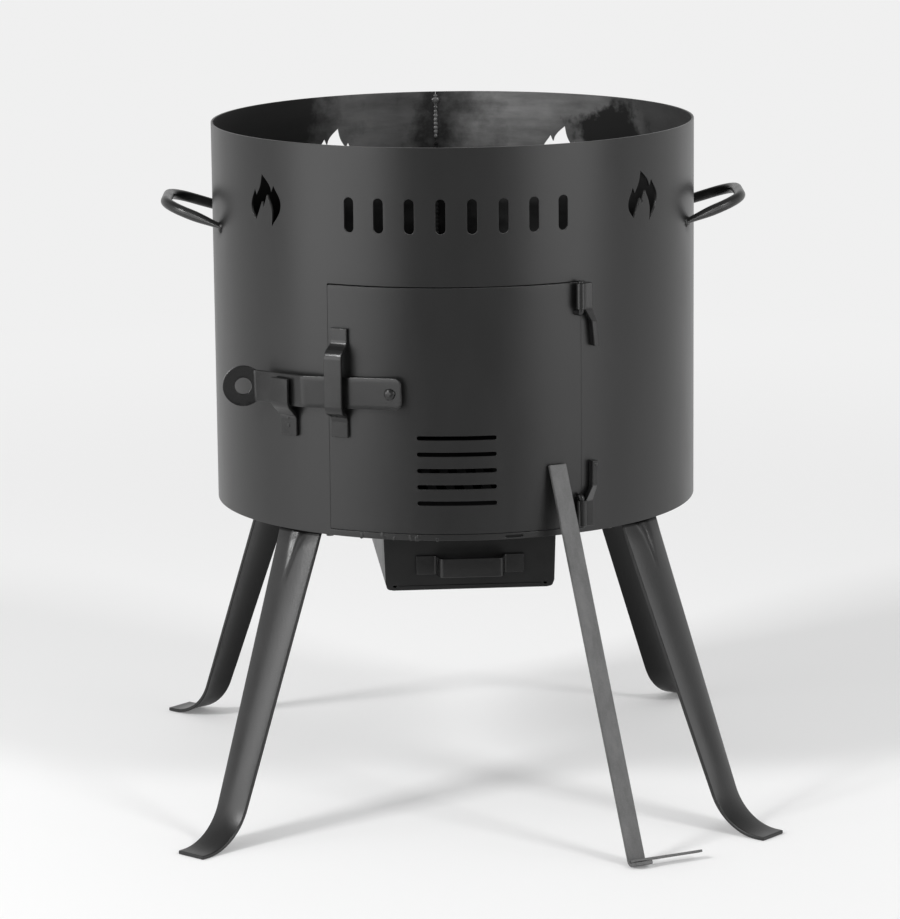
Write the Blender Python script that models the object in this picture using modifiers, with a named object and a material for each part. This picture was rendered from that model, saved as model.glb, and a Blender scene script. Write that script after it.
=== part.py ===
"""Wood-fired cauldron stove: a sheet steel drum on four splayed legs.

The drum stands on the Z axis of its own frame, its front faces -Y, and lengths are in metres.
Bearings round the drum are measured from the front (-Y) towards +X.
"""

import math

import bmesh
import bpy
from mathutils import Matrix, Vector

# Clearances and cutting
seat_gap = 0.0003
running_gap = 0.001
cut_overrun = 0.01
merge_distance = 0.00001

# Drum
drum_radius = 0.2
drum_wall = 0.002
drum_height = 0.3147
drum_lift = 0.2439
drum_steps = 120
shell_bearing = math.radians(-4.3)

# Firebox floor and grate
floor_rise = 0.0026
floor_plate_thickness = 0.0025
ash_hole_radius = 0.056
grate_radius = 0.07
grate_thickness = 0.004
grate_slot_width = 0.008
grate_slot_count = 7
grate_border = 0.009

# Door
door_width = 0.2101
door_height = 0.1968
door_gap = 0.0015
door_offset_bearing = math.radians(-0.4)
door_steps = 20
sill_height = 0.0045

# Air openings through the sheet
draught_slot_count = 8
draught_slot_width = 0.008
draught_slot_height = 0.028
draught_band_width = 0.183
draught_band_height = 0.2601
draught_band_offset = 0.001
door_slit_count = 5
door_slit_width = 0.064
door_slit_height = 0.0036
door_slit_pitch = 0.0132
door_slit_middle = 0.0506
door_slit_offset = 0.001
sill_slot_width = 0.014
sill_slot_height = 0.0015
sill_slot_bearing = math.radians(8.7)
flame_width = 0.037
flame_height = 0.0413
flame_base_height = 0.2451
flame_bearings = tuple(math.radians(angle) for angle in (-53.5, 45.0, 146.8, -153.6))
flame_shares = (
    (-0.10, 1.00, "corner"), (0.17, 0.77, "smooth"), (0.21, 0.67, "corner"),
    (0.28, 0.80, "corner"), (0.50, 0.43, "smooth"), (0.21, 0.00, "corner"),
    (0.22, 0.30, "smooth"), (0.06, 0.61, "corner"), (-0.05, 0.36, "corner"),
    (-0.11, 0.47, "corner"), (-0.33, 0.09, "corner"), (-0.50, 0.32, "smooth"),
    (-0.36, 0.69, "corner"), (-0.30, 0.58, "corner"), (-0.17, 0.76, "smooth"),
)

# Bent strap used for hinges, latch guide and latch keeper
strap_thickness = 0.003
strap_bend_radius = 0.0035
strap_columns = 2

# Hinges
hinge_stand_off = 0.006
hinge_setback = 0.00295
sleeve_radius = 0.004
sleeve_height = 0.021
sleeve_edge_drop = 0.0008
pin_radius = 0.0022
pin_bend_radius = 0.00264
pin_bore_gap = 0.0003
pin_overhang = 0.0015
pin_leg_drop = 0.0034
pin_leg_side = 0.0012
bracket_tab_reach = 0.0093
bracket_tab_start = 0.0028
bracket_step_height = 0.01
bracket_flat_height = 0.021
bracket_flat_start = 0.0103
bracket_flat_width = 0.007

# Latch guide on the door
guide_setback = 0.01064
guide_width = 0.0145
guide_stand_off = 0.011
guide_bottom = 0.0811
guide_lower_flat = 0.018
guide_lower_step = 0.003
guide_window = 0.0455
guide_upper_step = 0.0103
guide_upper_flat = 0.0114

# Latch keeper on the drum
keeper_overreach = 0.0391
keeper_width = 0.017
keeper_stand_off = 0.011
keeper_bottom = 0.0781
keeper_top = 0.1261
keeper_bar_clearance = 0.0008

# Latch bar
bar_height = 0.0255
bar_thickness = 0.003
bar_corner_radius = 0.0055
bar_pivot_setback = 0.05444
bar_near_setback = 0.0307
bar_far_overreach = 0.0461
bar_near_stand_off = 0.0018
bar_far_stand_off = 0.006
bar_tail = 0.0098
bar_far_length = 0.0546
bar_pivot_height = 0.1191
bar_droop = math.radians(1.6)
ring_radius = 0.0166
ring_hole_radius = 0.0067
ring_offset = 0.01
rivet_head_radius = 0.0046
rivet_head_height = 0.0024
rivet_shank_radius = 0.003
spacer_radius = 0.0065

# Carrying handles
handle_wire_radius = 0.0045
handle_wire_steps = 3
handle_half_span = 0.057
handle_grip_half_span = 0.0385
handle_reach = 0.0375
handle_height = 0.2331
handle_rise = 0.0175
handle_bend_radius = 0.03
handle_root_depth = 0.004

# Legs
leg_plate = 0.003
leg_splay = math.radians(22.3)
leg_bearings = {
    "leg_front_left": math.radians(-45.0),
    "leg_front_right": math.radians(45.0),
    "leg_rear_right": math.radians(135.0),
    "leg_rear_left": math.radians(-135.0),
}
leg_top_width = 0.044
leg_foot_width = 0.027
leg_crown_height = 0.0045
leg_edge_lift = -0.0005
leg_crown_run = 0.025
leg_foot_run = 0.05
leg_dart_depth = 0.003
leg_dart_run = 0.042
leg_dart_start = 0.006
leg_dart_share = 0.45
leg_flange_length = 0.032
leg_bend_radius = 0.005
leg_foot_radius = 0.047
leg_foot_flat = 0.006
leg_skirt_clearance = 0.001
leg_column_shares = (
    -1.0, -0.72, -leg_dart_share, -0.24, 0.0, 0.24, leg_dart_share, 0.72, 1.0,
)
leg_bend_rows = 4
leg_shank_rows = 6
leg_foot_rows = 7

# Leg fasteners
bolt_radius = 0.003
bolt_hole_gap = 0.0003
bolt_spacing = 0.022
bolt_setback = 0.019
bolt_head_flats = 0.01
bolt_head_height = 0.004
nut_height = 0.005
bolt_tail = 0.002
hexagon_sides = 6

# Ash drawer and its rails
drawer_sheet = 0.0015
drawer_width = 0.13
drawer_depth = 0.208
drawer_height = 0.042
drawer_face_width = 0.137
drawer_face_height = 0.0453
drawer_face_radius = 0.0065
drawer_face_drop = 0.0511
drawer_front = 0.148
drawer_offset = -0.0015
drawer_back_clearance = 0.001
rail_sheet = 0.002
rail_lip = 0.009
rail_flange = 0.01
rail_bend_radius = 0.0024
drawer_rail_drop = 0.0004

# Drawer handle
pull_thickness = 0.002
pull_height = 0.0155
pull_lift = 0.0132
pull_half_length = 0.0438
pull_window_half = 0.0273
pull_grip_half = 0.0245
pull_stand_off = 0.014
pull_bend_radius = 0.003

# Ash scraper leaning on the door
scraper_width = 0.015
scraper_thickness = 0.003
scraper_bearing = math.radians(20.9)
scraper_top_rise = 0.0581
scraper_top_side = -0.0087
scraper_foot_side = 0.0024
scraper_foot_reach = 0.1165
scraper_hook = 0.0132
scraper_bend_radius = 0.0045
blade_length = 0.06
blade_depth = 0.0082
blade_thickness = 0.002

# Facets
round_steps = 24
small_round_steps = 16
bend_steps = 4
slot_end_steps = 3
flame_steps = 4
wire_steps = 2

drum_top = drum_lift + drum_height
drum_inner_radius = drum_radius - drum_wall
floor_underside = drum_lift + floor_rise
floor_top = floor_underside + floor_plate_thickness
door_bottom = drum_lift + sill_height + door_gap
door_top = door_bottom + door_height
door_bearing = shell_bearing + door_offset_bearing
door_half_angle = door_width / drum_radius / 2
door_edge_bearing = door_bearing - door_half_angle
hinge_radius = drum_radius + hinge_stand_off
hinge_bearing = door_bearing + door_half_angle - hinge_setback / drum_radius
strap_middle = drum_radius + seat_gap + strap_thickness / 2
guide_bearing = door_edge_bearing + guide_setback / drum_radius
guide_middle = drum_radius + guide_stand_off + strap_thickness / 2
keeper_bearing = door_edge_bearing - keeper_overreach / drum_radius
keeper_middle = drum_radius + keeper_stand_off + strap_thickness / 2
bar_pivot_bearing = door_edge_bearing + bar_pivot_setback / drum_radius
bar_near_bearing = door_edge_bearing + bar_near_setback / drum_radius
bar_far_bearing = door_edge_bearing - bar_far_overreach / drum_radius
bar_near_middle = drum_radius + bar_near_stand_off + bar_thickness / 2
bar_far_middle = drum_radius + bar_far_stand_off + bar_thickness / 2
leg_bend_start = drum_inner_radius - leg_skirt_clearance - leg_plate / 2 - leg_bend_radius
drawer_face_lift = drum_lift - drawer_face_drop
tray_level = drawer_face_lift + rail_sheet + drawer_rail_drop
rail_lip_level = tray_level - seat_gap - rail_sheet / 2
scraper_top_height = drum_lift + scraper_top_rise

parts = None
cutters = None
stove = None


def clear_scene():
    """Remove every object and leftover collection from the file."""
    for item in list(bpy.data.objects):
        bpy.data.objects.remove(item, do_unlink=True)
    for group in list(bpy.data.collections):
        bpy.data.collections.remove(group)


def new_collection(name):
    """Add a collection to the scene."""
    group = bpy.data.collections.new(name)
    bpy.context.scene.collection.children.link(group)
    return group


def steel(name, grey, roughness, metallic=0.0):
    """A Principled material in one grey."""
    material = bpy.data.materials.new(name)
    material.use_nodes = True
    shader = material.node_tree.nodes["Principled BSDF"]
    shader.inputs["Base Color"].default_value = (grey, grey, grey, 1.0)
    shader.inputs["Roughness"].default_value = roughness
    shader.inputs["Metallic"].default_value = metallic
    return material


def polar(radius, bearing, height=0.0):
    """The point at a radius and a bearing round the drum."""
    return Vector((radius * math.sin(bearing), -radius * math.cos(bearing), height))


def surface_frame(bearing, radius=0.0, height=0.0):
    """Local X to the right seen from outside, Y up and Z out of the drum."""
    right = Vector((math.cos(bearing), math.sin(bearing), 0.0))
    up = Vector((0.0, 0.0, 1.0))
    outward = polar(1.0, bearing)
    turn = Matrix((right, up, outward)).transposed().to_4x4()
    return Matrix.Translation(polar(radius, bearing, height)) @ turn


def world_of(item):
    """World matrix from the placements of an object and its parents."""
    if item.parent is None:
        return item.matrix_basis.copy()
    return world_of(item.parent) @ item.matrix_basis


def add_joint(name, placement, parent=None):
    """An empty on the axis of a joint, placed in the drum's frame."""
    empty = bpy.data.objects.new(name, None)
    empty.empty_display_size = drum_wall
    parts.objects.link(empty)
    holder = parent or stove
    empty.parent = holder
    empty.matrix_basis = world_of(holder).inverted() @ world_of(stove) @ placement
    return empty


def add_part(name, mesh, material, placement=None, holder=None):
    """A piece of the stove, placed in the drum's frame and carried by its holder."""
    item = bpy.data.objects.new(name, mesh)
    parts.objects.link(item)
    holder = holder or stove
    item.parent = holder
    item.matrix_basis = world_of(holder).inverted() @ world_of(stove) @ (placement or Matrix())
    if not mesh.materials:
        mesh.materials.append(material)
    return item


def add_cutter(name, mesh, placement=None):
    """A solid that is only cut with."""
    item = bpy.data.objects.new(name, mesh)
    cutters.objects.link(item)
    item.parent = stove
    item.matrix_basis = placement or Matrix()
    item.display_type = "WIRE"
    item.hide_render = True
    return item


def cut(item, cutter, operation="DIFFERENCE"):
    """Cut an object with another one."""
    modifier = item.modifiers.new(cutter.name, "BOOLEAN")
    modifier.operation = operation
    modifier.solver = "EXACT"
    modifier.object = cutter


def thicken(item, thickness, offset=0.0):
    """Give an open surface its sheet thickness; offset -1 grows it behind the face."""
    modifier = item.modifiers.new("sheet", "SOLIDIFY")
    modifier.thickness = thickness
    modifier.offset = offset
    modifier.use_even_offset = True


def turn_profile(item, angle, steps):
    """Turn a profile at +X about the Z axis."""
    modifier = item.modifiers.new("turned", "SCREW")
    modifier.angle = angle
    modifier.steps = steps
    modifier.render_steps = steps
    modifier.use_merge_vertices = True
    modifier.merge_threshold = merge_distance


def smooth_rounds(mesh, sharp_angle=math.radians(35.0)):
    """Shade round faces smooth and keep sharp edges."""
    mesh.shade_smooth()
    mesh.set_sharp_from_angle(angle=sharp_angle)


def baked(item):
    """The mesh of an object as its modifiers leave it; the object is removed."""
    bpy.context.view_layer.update()
    graph = bpy.context.evaluated_depsgraph_get()
    mesh = bpy.data.meshes.new_from_object(item.evaluated_get(graph))
    data = item.data
    bpy.data.objects.remove(item, do_unlink=True)
    if isinstance(data, bpy.types.Curve):
        bpy.data.curves.remove(data)
    solid = bmesh.new()
    solid.from_mesh(mesh)
    bmesh.ops.remove_doubles(solid, verts=solid.verts, dist=merge_distance)
    bmesh.ops.recalc_face_normals(solid, faces=solid.faces)
    solid.to_mesh(mesh)
    solid.free()
    return mesh


def loose_object(name, data):
    """An object in the scene that is baked and removed before the build ends."""
    item = bpy.data.objects.new(name, data)
    bpy.context.scene.collection.objects.link(item)
    return item


def outline_mesh(name, outlines, thickness):
    """A flat plate from closed outlines; those inside the first one are holes."""
    curve = bpy.data.curves.new(name, "CURVE")
    curve.dimensions = "2D"
    curve.fill_mode = "BOTH"
    curve.extrude = thickness / 2
    for outline in outlines:
        spline = curve.splines.new("POLY")
        spline.points.add(len(outline) - 1)
        for point, (across, along) in zip(spline.points, outline):
            point.co = (across, along, 0.0, 1.0)
        spline.use_cyclic_u = True
    return baked(loose_object(name, curve))


def wire_mesh(name, points, radius, steps=wire_steps):
    """A round bar along a path, with flat ends."""
    curve = bpy.data.curves.new(name, "CURVE")
    curve.dimensions = "3D"
    curve.bevel_depth = radius
    curve.bevel_resolution = steps
    curve.use_fill_caps = True
    spline = curve.splines.new("POLY")
    spline.points.add(len(points) - 1)
    for point, place in zip(spline.points, points):
        point.co = (*place, 1.0)
    return baked(loose_object(name, curve))


def ribbon_mesh(name, points, width_vector):
    """An open surface: a path swept along the width, centred on the path."""
    sheet = bmesh.new()
    vertices = [sheet.verts.new(Vector(point) - width_vector / 2) for point in points]
    edges = [sheet.edges.new(pair) for pair in zip(vertices, vertices[1:])]
    swept = bmesh.ops.extrude_edge_only(sheet, edges=edges)
    moved = [part for part in swept["geom"] if isinstance(part, bmesh.types.BMVert)]
    bmesh.ops.translate(sheet, verts=moved, vec=width_vector)
    return mesh_from(sheet, name)


def mesh_from(sheet, name):
    """Turn a bmesh into a mesh."""
    mesh = bpy.data.meshes.new(name)
    sheet.to_mesh(mesh)
    sheet.free()
    return mesh


def box_mesh(name, low, high):
    """A box between two corners."""
    solid = bmesh.new()
    low = Vector(low)
    high = Vector(high)
    size = high - low
    placement = Matrix.Translation((low + high) / 2) @ Matrix.Diagonal((*size, 1.0))
    bmesh.ops.create_cube(solid, size=1.0, matrix=placement)
    return mesh_from(solid, name)


def cylinder_mesh(name, radius, low, high, steps=round_steps):
    """A cylinder about the local Z axis, or a prism with few steps."""
    solid = bmesh.new()
    bmesh.ops.create_cone(
        solid, cap_ends=True, segments=steps, radius1=radius, radius2=radius,
        depth=high - low, matrix=Matrix.Translation((0.0, 0.0, (low + high) / 2)),
    )
    return mesh_from(solid, name)


def gathered_mesh(name, copies):
    """One mesh of several separate solids, each a mesh with its placement."""
    group = bmesh.new()
    for mesh, placement in copies:
        solid = bmesh.new()
        solid.from_mesh(mesh)
        solid.transform(placement)
        moved = bpy.data.meshes.new(name)
        solid.to_mesh(moved)
        solid.free()
        group.from_mesh(moved)
        bpy.data.meshes.remove(moved)
    return mesh_from(group, name)


def joined_mesh(name, base, others, operation="UNION"):
    """One solid: a mesh united with, or cut by, others in the same frame."""
    item = loose_object(name, base)
    tools = [loose_object(name + "_tool", mesh) for mesh in others]
    for tool in tools:
        cut(item, tool, operation)
    mesh = baked(item)
    for tool in tools:
        bpy.data.objects.remove(tool, do_unlink=True)
    return mesh


def circle(radius, steps=round_steps, centre=(0.0, 0.0), start=0.0):
    """Points round a circle, counterclockwise."""
    turn = 2 * math.pi / steps
    return [
        (centre[0] + radius * math.cos(start + turn * step),
         centre[1] + radius * math.sin(start + turn * step))
        for step in range(steps)
    ]


def arc(radius, first, last, steps, centre=(0.0, 0.0)):
    """Points along an arc, both ends included."""
    return [
        (centre[0] + radius * math.cos(first + (last - first) * step / steps),
         centre[1] + radius * math.sin(first + (last - first) * step / steps))
        for step in range(steps + 1)
    ]


def obround(width, height, centre=(0.0, 0.0)):
    """A slot outline with half-round ends along its longer side."""
    radius = min(width, height) / 2
    run_x = width / 2 - radius
    run_y = height / 2 - radius
    corners = (
        (run_x, run_y, 0.0), (-run_x, run_y, math.pi / 2),
        (-run_x, -run_y, math.pi), (run_x, -run_y, 3 * math.pi / 2),
    )
    points = []
    for across, along, first in corners:
        middle = (centre[0] + across, centre[1] + along)
        points += arc(radius, first, first + math.pi / 2, slot_end_steps, middle)
    return without_repeats(points)


def without_repeats(points):
    """Drop points that lie on their neighbour in a closed outline."""
    kept = []
    for point in points:
        if not kept or (Vector(point) - Vector(kept[-1])).length > merge_distance:
            kept.append(point)
    if (Vector(kept[0]) - Vector(kept[-1])).length <= merge_distance:
        kept.pop()
    return kept


def rounded_path(points, radius, steps=bend_steps):
    """A path whose inner corners are arcs of one radius."""
    places = [Vector(point) for point in points]
    path = [places[0]]
    for before, corner, after in zip(places, places[1:], places[2:]):
        back = (before - corner).normalized()
        ahead = (after - corner).normalized()
        half = back.angle(ahead) / 2
        centre = corner + (back + ahead).normalized() * (radius / math.sin(half))
        start = corner + back * (radius / math.tan(half)) - centre
        end = corner + ahead * (radius / math.tan(half)) - centre
        for step in range(steps + 1):
            path.append(centre + start.slerp(end, step / steps).normalized() * radius)
    path.append(places[-1])
    return path


def flame_mesh(depth):
    """A flame pictogram standing on the local X axis, as a solid to cut with."""
    curve = bpy.data.curves.new("flame", "CURVE")
    curve.dimensions = "2D"
    curve.fill_mode = "BOTH"
    curve.extrude = depth / 2
    curve.resolution_u = flame_steps
    spline = curve.splines.new("BEZIER")
    spline.bezier_points.add(len(flame_shares) - 1)
    for knot, (across, along, kind) in zip(spline.bezier_points, flame_shares):
        knot.co = (across * flame_width, along * flame_height, 0.0)
        handle = "AUTO" if kind == "smooth" else "VECTOR"
        knot.handle_left_type = handle
        knot.handle_right_type = handle
    spline.use_cyclic_u = True
    return baked(loose_object("flame", curve))


def sheet_arc(name, radius, low, high, thickness, steps, add):
    """A curved sheet: its outer face at a radius, turned from the local +X axis."""
    mesh = bpy.data.meshes.new(name)
    mesh.from_pydata([(radius, 0.0, high), (radius, 0.0, low)], [(0, 1)], [])
    item = add(name, mesh)
    turn_profile(item, 2 * door_half_angle, steps)
    thicken(item, thickness, offset=-1.0)
    return item


def arc_start(bearing):
    """The placement that turns the local +X axis to a bearing."""
    return Matrix.Rotation(bearing - math.pi / 2, 4, "Z")


def make_drum_shell(material):
    """The drum: one rolled sheet with its door opening, flames and draught slots."""
    mesh = bpy.data.meshes.new("drum_shell")
    mesh.from_pydata([(drum_radius, 0.0, drum_top), (drum_radius, 0.0, drum_lift)], [(0, 1)], [])
    shell = add_part("drum_shell", mesh, material)
    turn_profile(shell, 2 * math.pi, drum_steps)
    thicken(shell, drum_wall, offset=-1.0)
    for cutter in (door_opening_cutter(), flames_cutter(), draught_cutter(), sill_slot_cutter()):
        cut(shell, cutter)
    smooth_rounds(mesh)
    return shell


def door_opening_cutter():
    """The door's outline grown by its gap on every side."""
    gap_angle = door_gap / drum_radius
    first = door_bearing - door_half_angle - gap_angle

    def add(name, mesh):
        return add_cutter(name, mesh, arc_start(first))

    cutter = sheet_arc(
        "door_opening", drum_radius + cut_overrun, door_bottom - door_gap, door_top + door_gap,
        drum_wall + 2 * cut_overrun, door_steps, add,
    )
    cutter.modifiers["turned"].angle = 2 * (door_half_angle + gap_angle)
    return cutter


def through_wall(bearing, height):
    """The frame in the middle of the sheet at a bearing and a height."""
    return surface_frame(bearing, drum_radius - drum_wall / 2, height)


def flames_cutter():
    """Four flames round the drum."""
    flame = flame_mesh(2 * cut_overrun)
    height = drum_lift + flame_base_height
    copies = [(flame, through_wall(bearing, height)) for bearing in flame_bearings]
    return add_cutter("flames", gathered_mesh("flames", copies))


def draught_cutter():
    """A band of upright draught slots over the door."""
    slot = outline_mesh("slot", [obround(draught_slot_width, draught_slot_height)], 2 * cut_overrun)
    pitch = (draught_band_width - draught_slot_width) / (draught_slot_count - 1)
    copies = []
    for index in range(draught_slot_count):
        across = draught_band_offset + pitch * (index - (draught_slot_count - 1) / 2)
        bearing = shell_bearing + across / drum_radius
        copies.append((slot, through_wall(bearing, drum_lift + draught_band_height)))
    return add_cutter("draught_slots", gathered_mesh("draught_slots", copies))


def sill_slot_cutter():
    """A short slot through the strip under the door."""
    slot = outline_mesh("sill_slot", [obround(sill_slot_width, sill_slot_height)], 2 * cut_overrun)
    return add_cutter("sill_slot", slot, through_wall(sill_slot_bearing, drum_lift + sill_height / 2))


def make_door_panel(material, door_joint):
    """The door: the piece cut from the drum, with air slits and the latch rivet's hole."""
    first = door_bearing - door_half_angle

    def add(name, mesh):
        return add_part(name, mesh, material, arc_start(first), door_joint)

    door = sheet_arc("door_panel", drum_radius, door_bottom, door_top, drum_wall, door_steps, add)
    slit = outline_mesh("slit", [obround(door_slit_width, door_slit_height)], 2 * cut_overrun)
    slits = []
    for index in range(door_slit_count):
        rise = door_slit_middle + door_slit_pitch * (index - (door_slit_count - 1) / 2)
        bearing = door_bearing + door_slit_offset / drum_radius
        slits.append((slit, through_wall(bearing, door_bottom + rise)))
    cut(door, add_cutter("door_slits", gathered_mesh("door_slits", slits)))
    cut(door, pivot_hole_cutter())
    smooth_rounds(door.data)
    return door


def pivot_frame():
    """The latch pivot: local Z out through the rivet, origin in the bar's middle plane."""
    side = bar_near_middle * math.tan(bar_pivot_bearing - bar_near_bearing)
    frame = surface_frame(bar_near_bearing, bar_near_middle, drum_lift + bar_pivot_height)
    return frame @ Matrix.Translation((side, 0.0, 0.0))


def pivot_hole_cutter():
    """The rivet's hole, used for the door and the spacer."""
    radius = rivet_shank_radius + seat_gap
    depth = bar_near_stand_off + drum_wall + cut_overrun
    return add_cutter(
        "pivot_hole", cylinder_mesh("pivot_hole", radius, -depth, depth, small_round_steps),
        pivot_frame(),
    )


def make_floor_plate(material, bolt_holes):
    """The firebox floor: a disc welded inside the drum, open over the ash drawer."""
    edge = circle(drum_inner_radius - 2 * seat_gap, drum_steps)
    hole = circle(ash_hole_radius, round_steps)
    mesh = outline_mesh("floor_plate", [edge, hole], floor_plate_thickness)
    placement = Matrix.Translation((0.0, 0.0, floor_underside + floor_plate_thickness / 2))
    plate = add_part("floor_plate", mesh, material, placement)
    cut(plate, bolt_holes)
    smooth_rounds(mesh)
    return plate


def make_grate(material, grate_joint):
    """The loose grate: a plate with parallel slots over the ash hole."""
    outlines = [circle(grate_radius, 2 * round_steps)]
    field = grate_radius - grate_border
    pitch = 2 * field / (grate_slot_count + 1)
    for index in range(grate_slot_count):
        across = pitch * (index - (grate_slot_count - 1) / 2)
        length = 2 * math.sqrt(field ** 2 - (abs(across) + grate_slot_width / 2) ** 2)
        outlines.append(obround(grate_slot_width, length, (across, 0.0)))
    mesh = outline_mesh("grate", outlines, grate_thickness)
    middle = floor_top + seat_gap + grate_thickness / 2
    grate = add_part("grate", mesh, material, Matrix.Translation((0.0, 0.0, middle)), grate_joint)
    smooth_rounds(mesh)
    return grate


def drum_core(name, low, high):
    """A plain solid the size of the drum, to trim what is welded on its face."""
    return cylinder_mesh(name, drum_radius + seat_gap, low, high, drum_steps)


def strap_on_drum(name, bearing, width, path):
    """A strap bent out of the drum's face: (height, radius) points swept round the drum."""
    rows = rounded_path([(0.0, radius, height) for height, radius in path], strap_bend_radius)
    sheet = bmesh.new()
    bmesh.ops.create_grid(sheet, x_segments=strap_columns, y_segments=len(rows) - 1, size=1.0)
    for vertex in sheet.verts:
        row = rows[round((vertex.co.y + 1) / 2 * (len(rows) - 1))]
        across = vertex.co.x * width / 2
        vertex.co = polar(row.y, bearing + across / drum_radius, row.z)
    bmesh.ops.recalc_face_normals(sheet, faces=sheet.faces)
    return mesh_from(sheet, name)


def make_latch_guide(material, door_joint):
    """The bridge on the door's free edge that the latch bar runs through."""
    low = drum_lift + guide_bottom
    lower_bend = low + guide_lower_flat
    window_low = lower_bend + guide_lower_step
    window_high = window_low + guide_window
    upper_bend = window_high + guide_upper_step
    path = (
        (low, strap_middle), (lower_bend, strap_middle), (window_low, guide_middle),
        (window_high, guide_middle), (upper_bend, strap_middle),
        (upper_bend + guide_upper_flat, strap_middle),
    )
    mesh = strap_on_drum("latch_guide", guide_bearing, guide_width, path)
    guide = add_part("latch_guide", mesh, material, None, door_joint)
    thicken(guide, strap_thickness)
    smooth_rounds(mesh)
    return guide


def keeper_step_top():
    """The height where the keeper's slope ends, kept under the latch bar's lower edge."""
    lever = bar_near_middle * (
        math.tan(bar_pivot_bearing - bar_near_bearing)
        + math.tan((bar_near_bearing - bar_far_bearing) / 2)
    ) + bar_far_length / 2
    bar_low = drum_lift + bar_pivot_height - bar_height / 2 - lever * math.sin(bar_droop)
    past_bar = keeper_middle - bar_far_middle - bar_thickness / 2
    slope_face = strap_thickness / 2 * math.sqrt(2)
    return bar_low - keeper_bar_clearance - slope_face + past_bar


def make_latch_keeper(material):
    """The open hook on the drum that the latch bar drops behind."""
    step_top = keeper_step_top()
    step_low = step_top - (keeper_middle - strap_middle)
    path = (
        (drum_lift + keeper_bottom, strap_middle), (step_low, strap_middle),
        (step_top, keeper_middle), (drum_lift + keeper_top, keeper_middle),
    )
    mesh = strap_on_drum("latch_keeper", keeper_bearing, keeper_width, path)
    keeper = add_part("latch_keeper", mesh, material)
    thicken(keeper, strap_thickness)
    smooth_rounds(mesh)
    return keeper


def fold(solid, line, angle):
    """Fold a flat solid behind a line across its length, mitred on the line."""
    bmesh.ops.bisect_plane(
        solid, geom=solid.verts[:] + solid.edges[:] + solid.faces[:], dist=merge_distance,
        plane_co=(line, 0.0, 0.0), plane_no=(1.0, 0.0, 0.0),
    )
    hinge = Matrix.Translation((line, 0.0, 0.0))
    for vertex in solid.verts:
        beyond = line - vertex.co.x
        if beyond > merge_distance:
            share = 1.0
        elif beyond > -merge_distance:
            share = 0.5
        else:
            continue
        vertex.co = hinge @ Matrix.Rotation(angle * share, 4, "Y") @ hinge.inverted() @ vertex.co


def bar_outline():
    """The flat latch bar about its pivot: a strip with a round ring end."""
    half = bar_height / 2
    near = bar_near_middle * (
        math.tan(bar_pivot_bearing - bar_near_bearing)
        + math.tan((bar_near_bearing - bar_far_bearing) / 2)
        - (bar_near_middle - bar_far_middle)
        / bar_near_middle / math.sin(bar_near_bearing - bar_far_bearing)
    )
    second = near + bar_far_length
    centre = (-(second + ring_offset), 0.0)
    meet = math.asin(half / ring_radius)
    outline = arc(ring_radius, meet, 2 * math.pi - meet, round_steps, centre)
    for side, first in ((-1.0, -math.pi / 2), (1.0, 0.0)):
        middle = (bar_tail - bar_corner_radius, side * (half - bar_corner_radius))
        outline += arc(bar_corner_radius, first, first + math.pi / 2, bend_steps, middle)
    return without_repeats(outline), centre, near, second


def make_latch_bar(material, latch_joint):
    """The latch bar: a strip folded twice along the drum, with a ring to lift it by."""
    outline, centre, near, second = bar_outline()
    ring_hole = circle(ring_hole_radius, small_round_steps, centre)
    pivot_hole = circle(rivet_shank_radius + seat_gap, small_round_steps)
    flat = outline_mesh("latch_bar", [outline, ring_hole, pivot_hole], bar_thickness)
    solid = bmesh.new()
    solid.from_mesh(flat)
    fold(solid, -second, -bar_far_bearing)
    fold(solid, -near, bar_far_bearing - bar_near_bearing)
    mesh = mesh_from(solid, "latch_bar")
    placement = pivot_frame() @ Matrix.Rotation(bar_droop, 4, "Z")
    bar = add_part("latch_bar", mesh, material, placement, latch_joint)
    smooth_rounds(mesh)
    return bar


def make_latch_rivet(material, door_joint):
    """The pivot rivet: a domed head outside, a flat one inside the door."""
    outer = bar_thickness / 2 + seat_gap
    reach = rivet_head_radius * math.sin(bar_pivot_bearing - bar_near_bearing)
    middle = bar_near_middle * (1 - 1 / math.cos(bar_pivot_bearing - bar_near_bearing))
    inner = middle - bar_near_stand_off - bar_thickness / 2 - drum_wall - reach - seat_gap
    dome = [
        (rivet_head_radius * math.sin(angle), outer + rivet_head_height * math.cos(angle))
        for angle in (math.pi / 2 * step / bend_steps for step in range(bend_steps + 1))
    ]
    profile = dome + [
        (rivet_shank_radius, outer), (rivet_shank_radius, inner),
        (rivet_head_radius, inner), (rivet_head_radius, inner - rivet_head_height / 2),
        (0.0, inner - rivet_head_height / 2),
    ]
    mesh = bpy.data.meshes.new("latch_rivet")
    points = [(across, 0.0, along) for across, along in profile]
    mesh.from_pydata(points, [(step, step + 1) for step in range(len(points) - 1)], [])
    rivet = add_part("latch_rivet", mesh, material, pivot_frame(), door_joint)
    turn_profile(rivet, 2 * math.pi, small_round_steps)
    smooth_rounds(mesh)
    return rivet


def make_latch_spacer(material, door_joint, core):
    """The spacer that holds the bar off the curved door, trimmed to the door's face."""
    high = -bar_thickness / 2 - seat_gap
    low = high - bar_near_stand_off - drum_wall
    edge = circle(spacer_radius)
    hole = circle(rivet_shank_radius + seat_gap, small_round_steps)
    ring = outline_mesh("latch_spacer", [edge, hole], high - low)
    placement = pivot_frame() @ Matrix.Translation((0.0, 0.0, (high + low) / 2))
    spacer = add_part("latch_spacer", ring, material, placement, door_joint)
    cut(spacer, core)
    smooth_rounds(ring)
    return spacer


def hinge_levels(upper):
    """The sleeve's middle height and the direction from it to the bracket's foot."""
    if upper:
        return door_top + sleeve_edge_drop - sleeve_height / 2, -1.0
    return door_bottom - sleeve_edge_drop + sleeve_height / 2 + door_gap, 1.0


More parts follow.
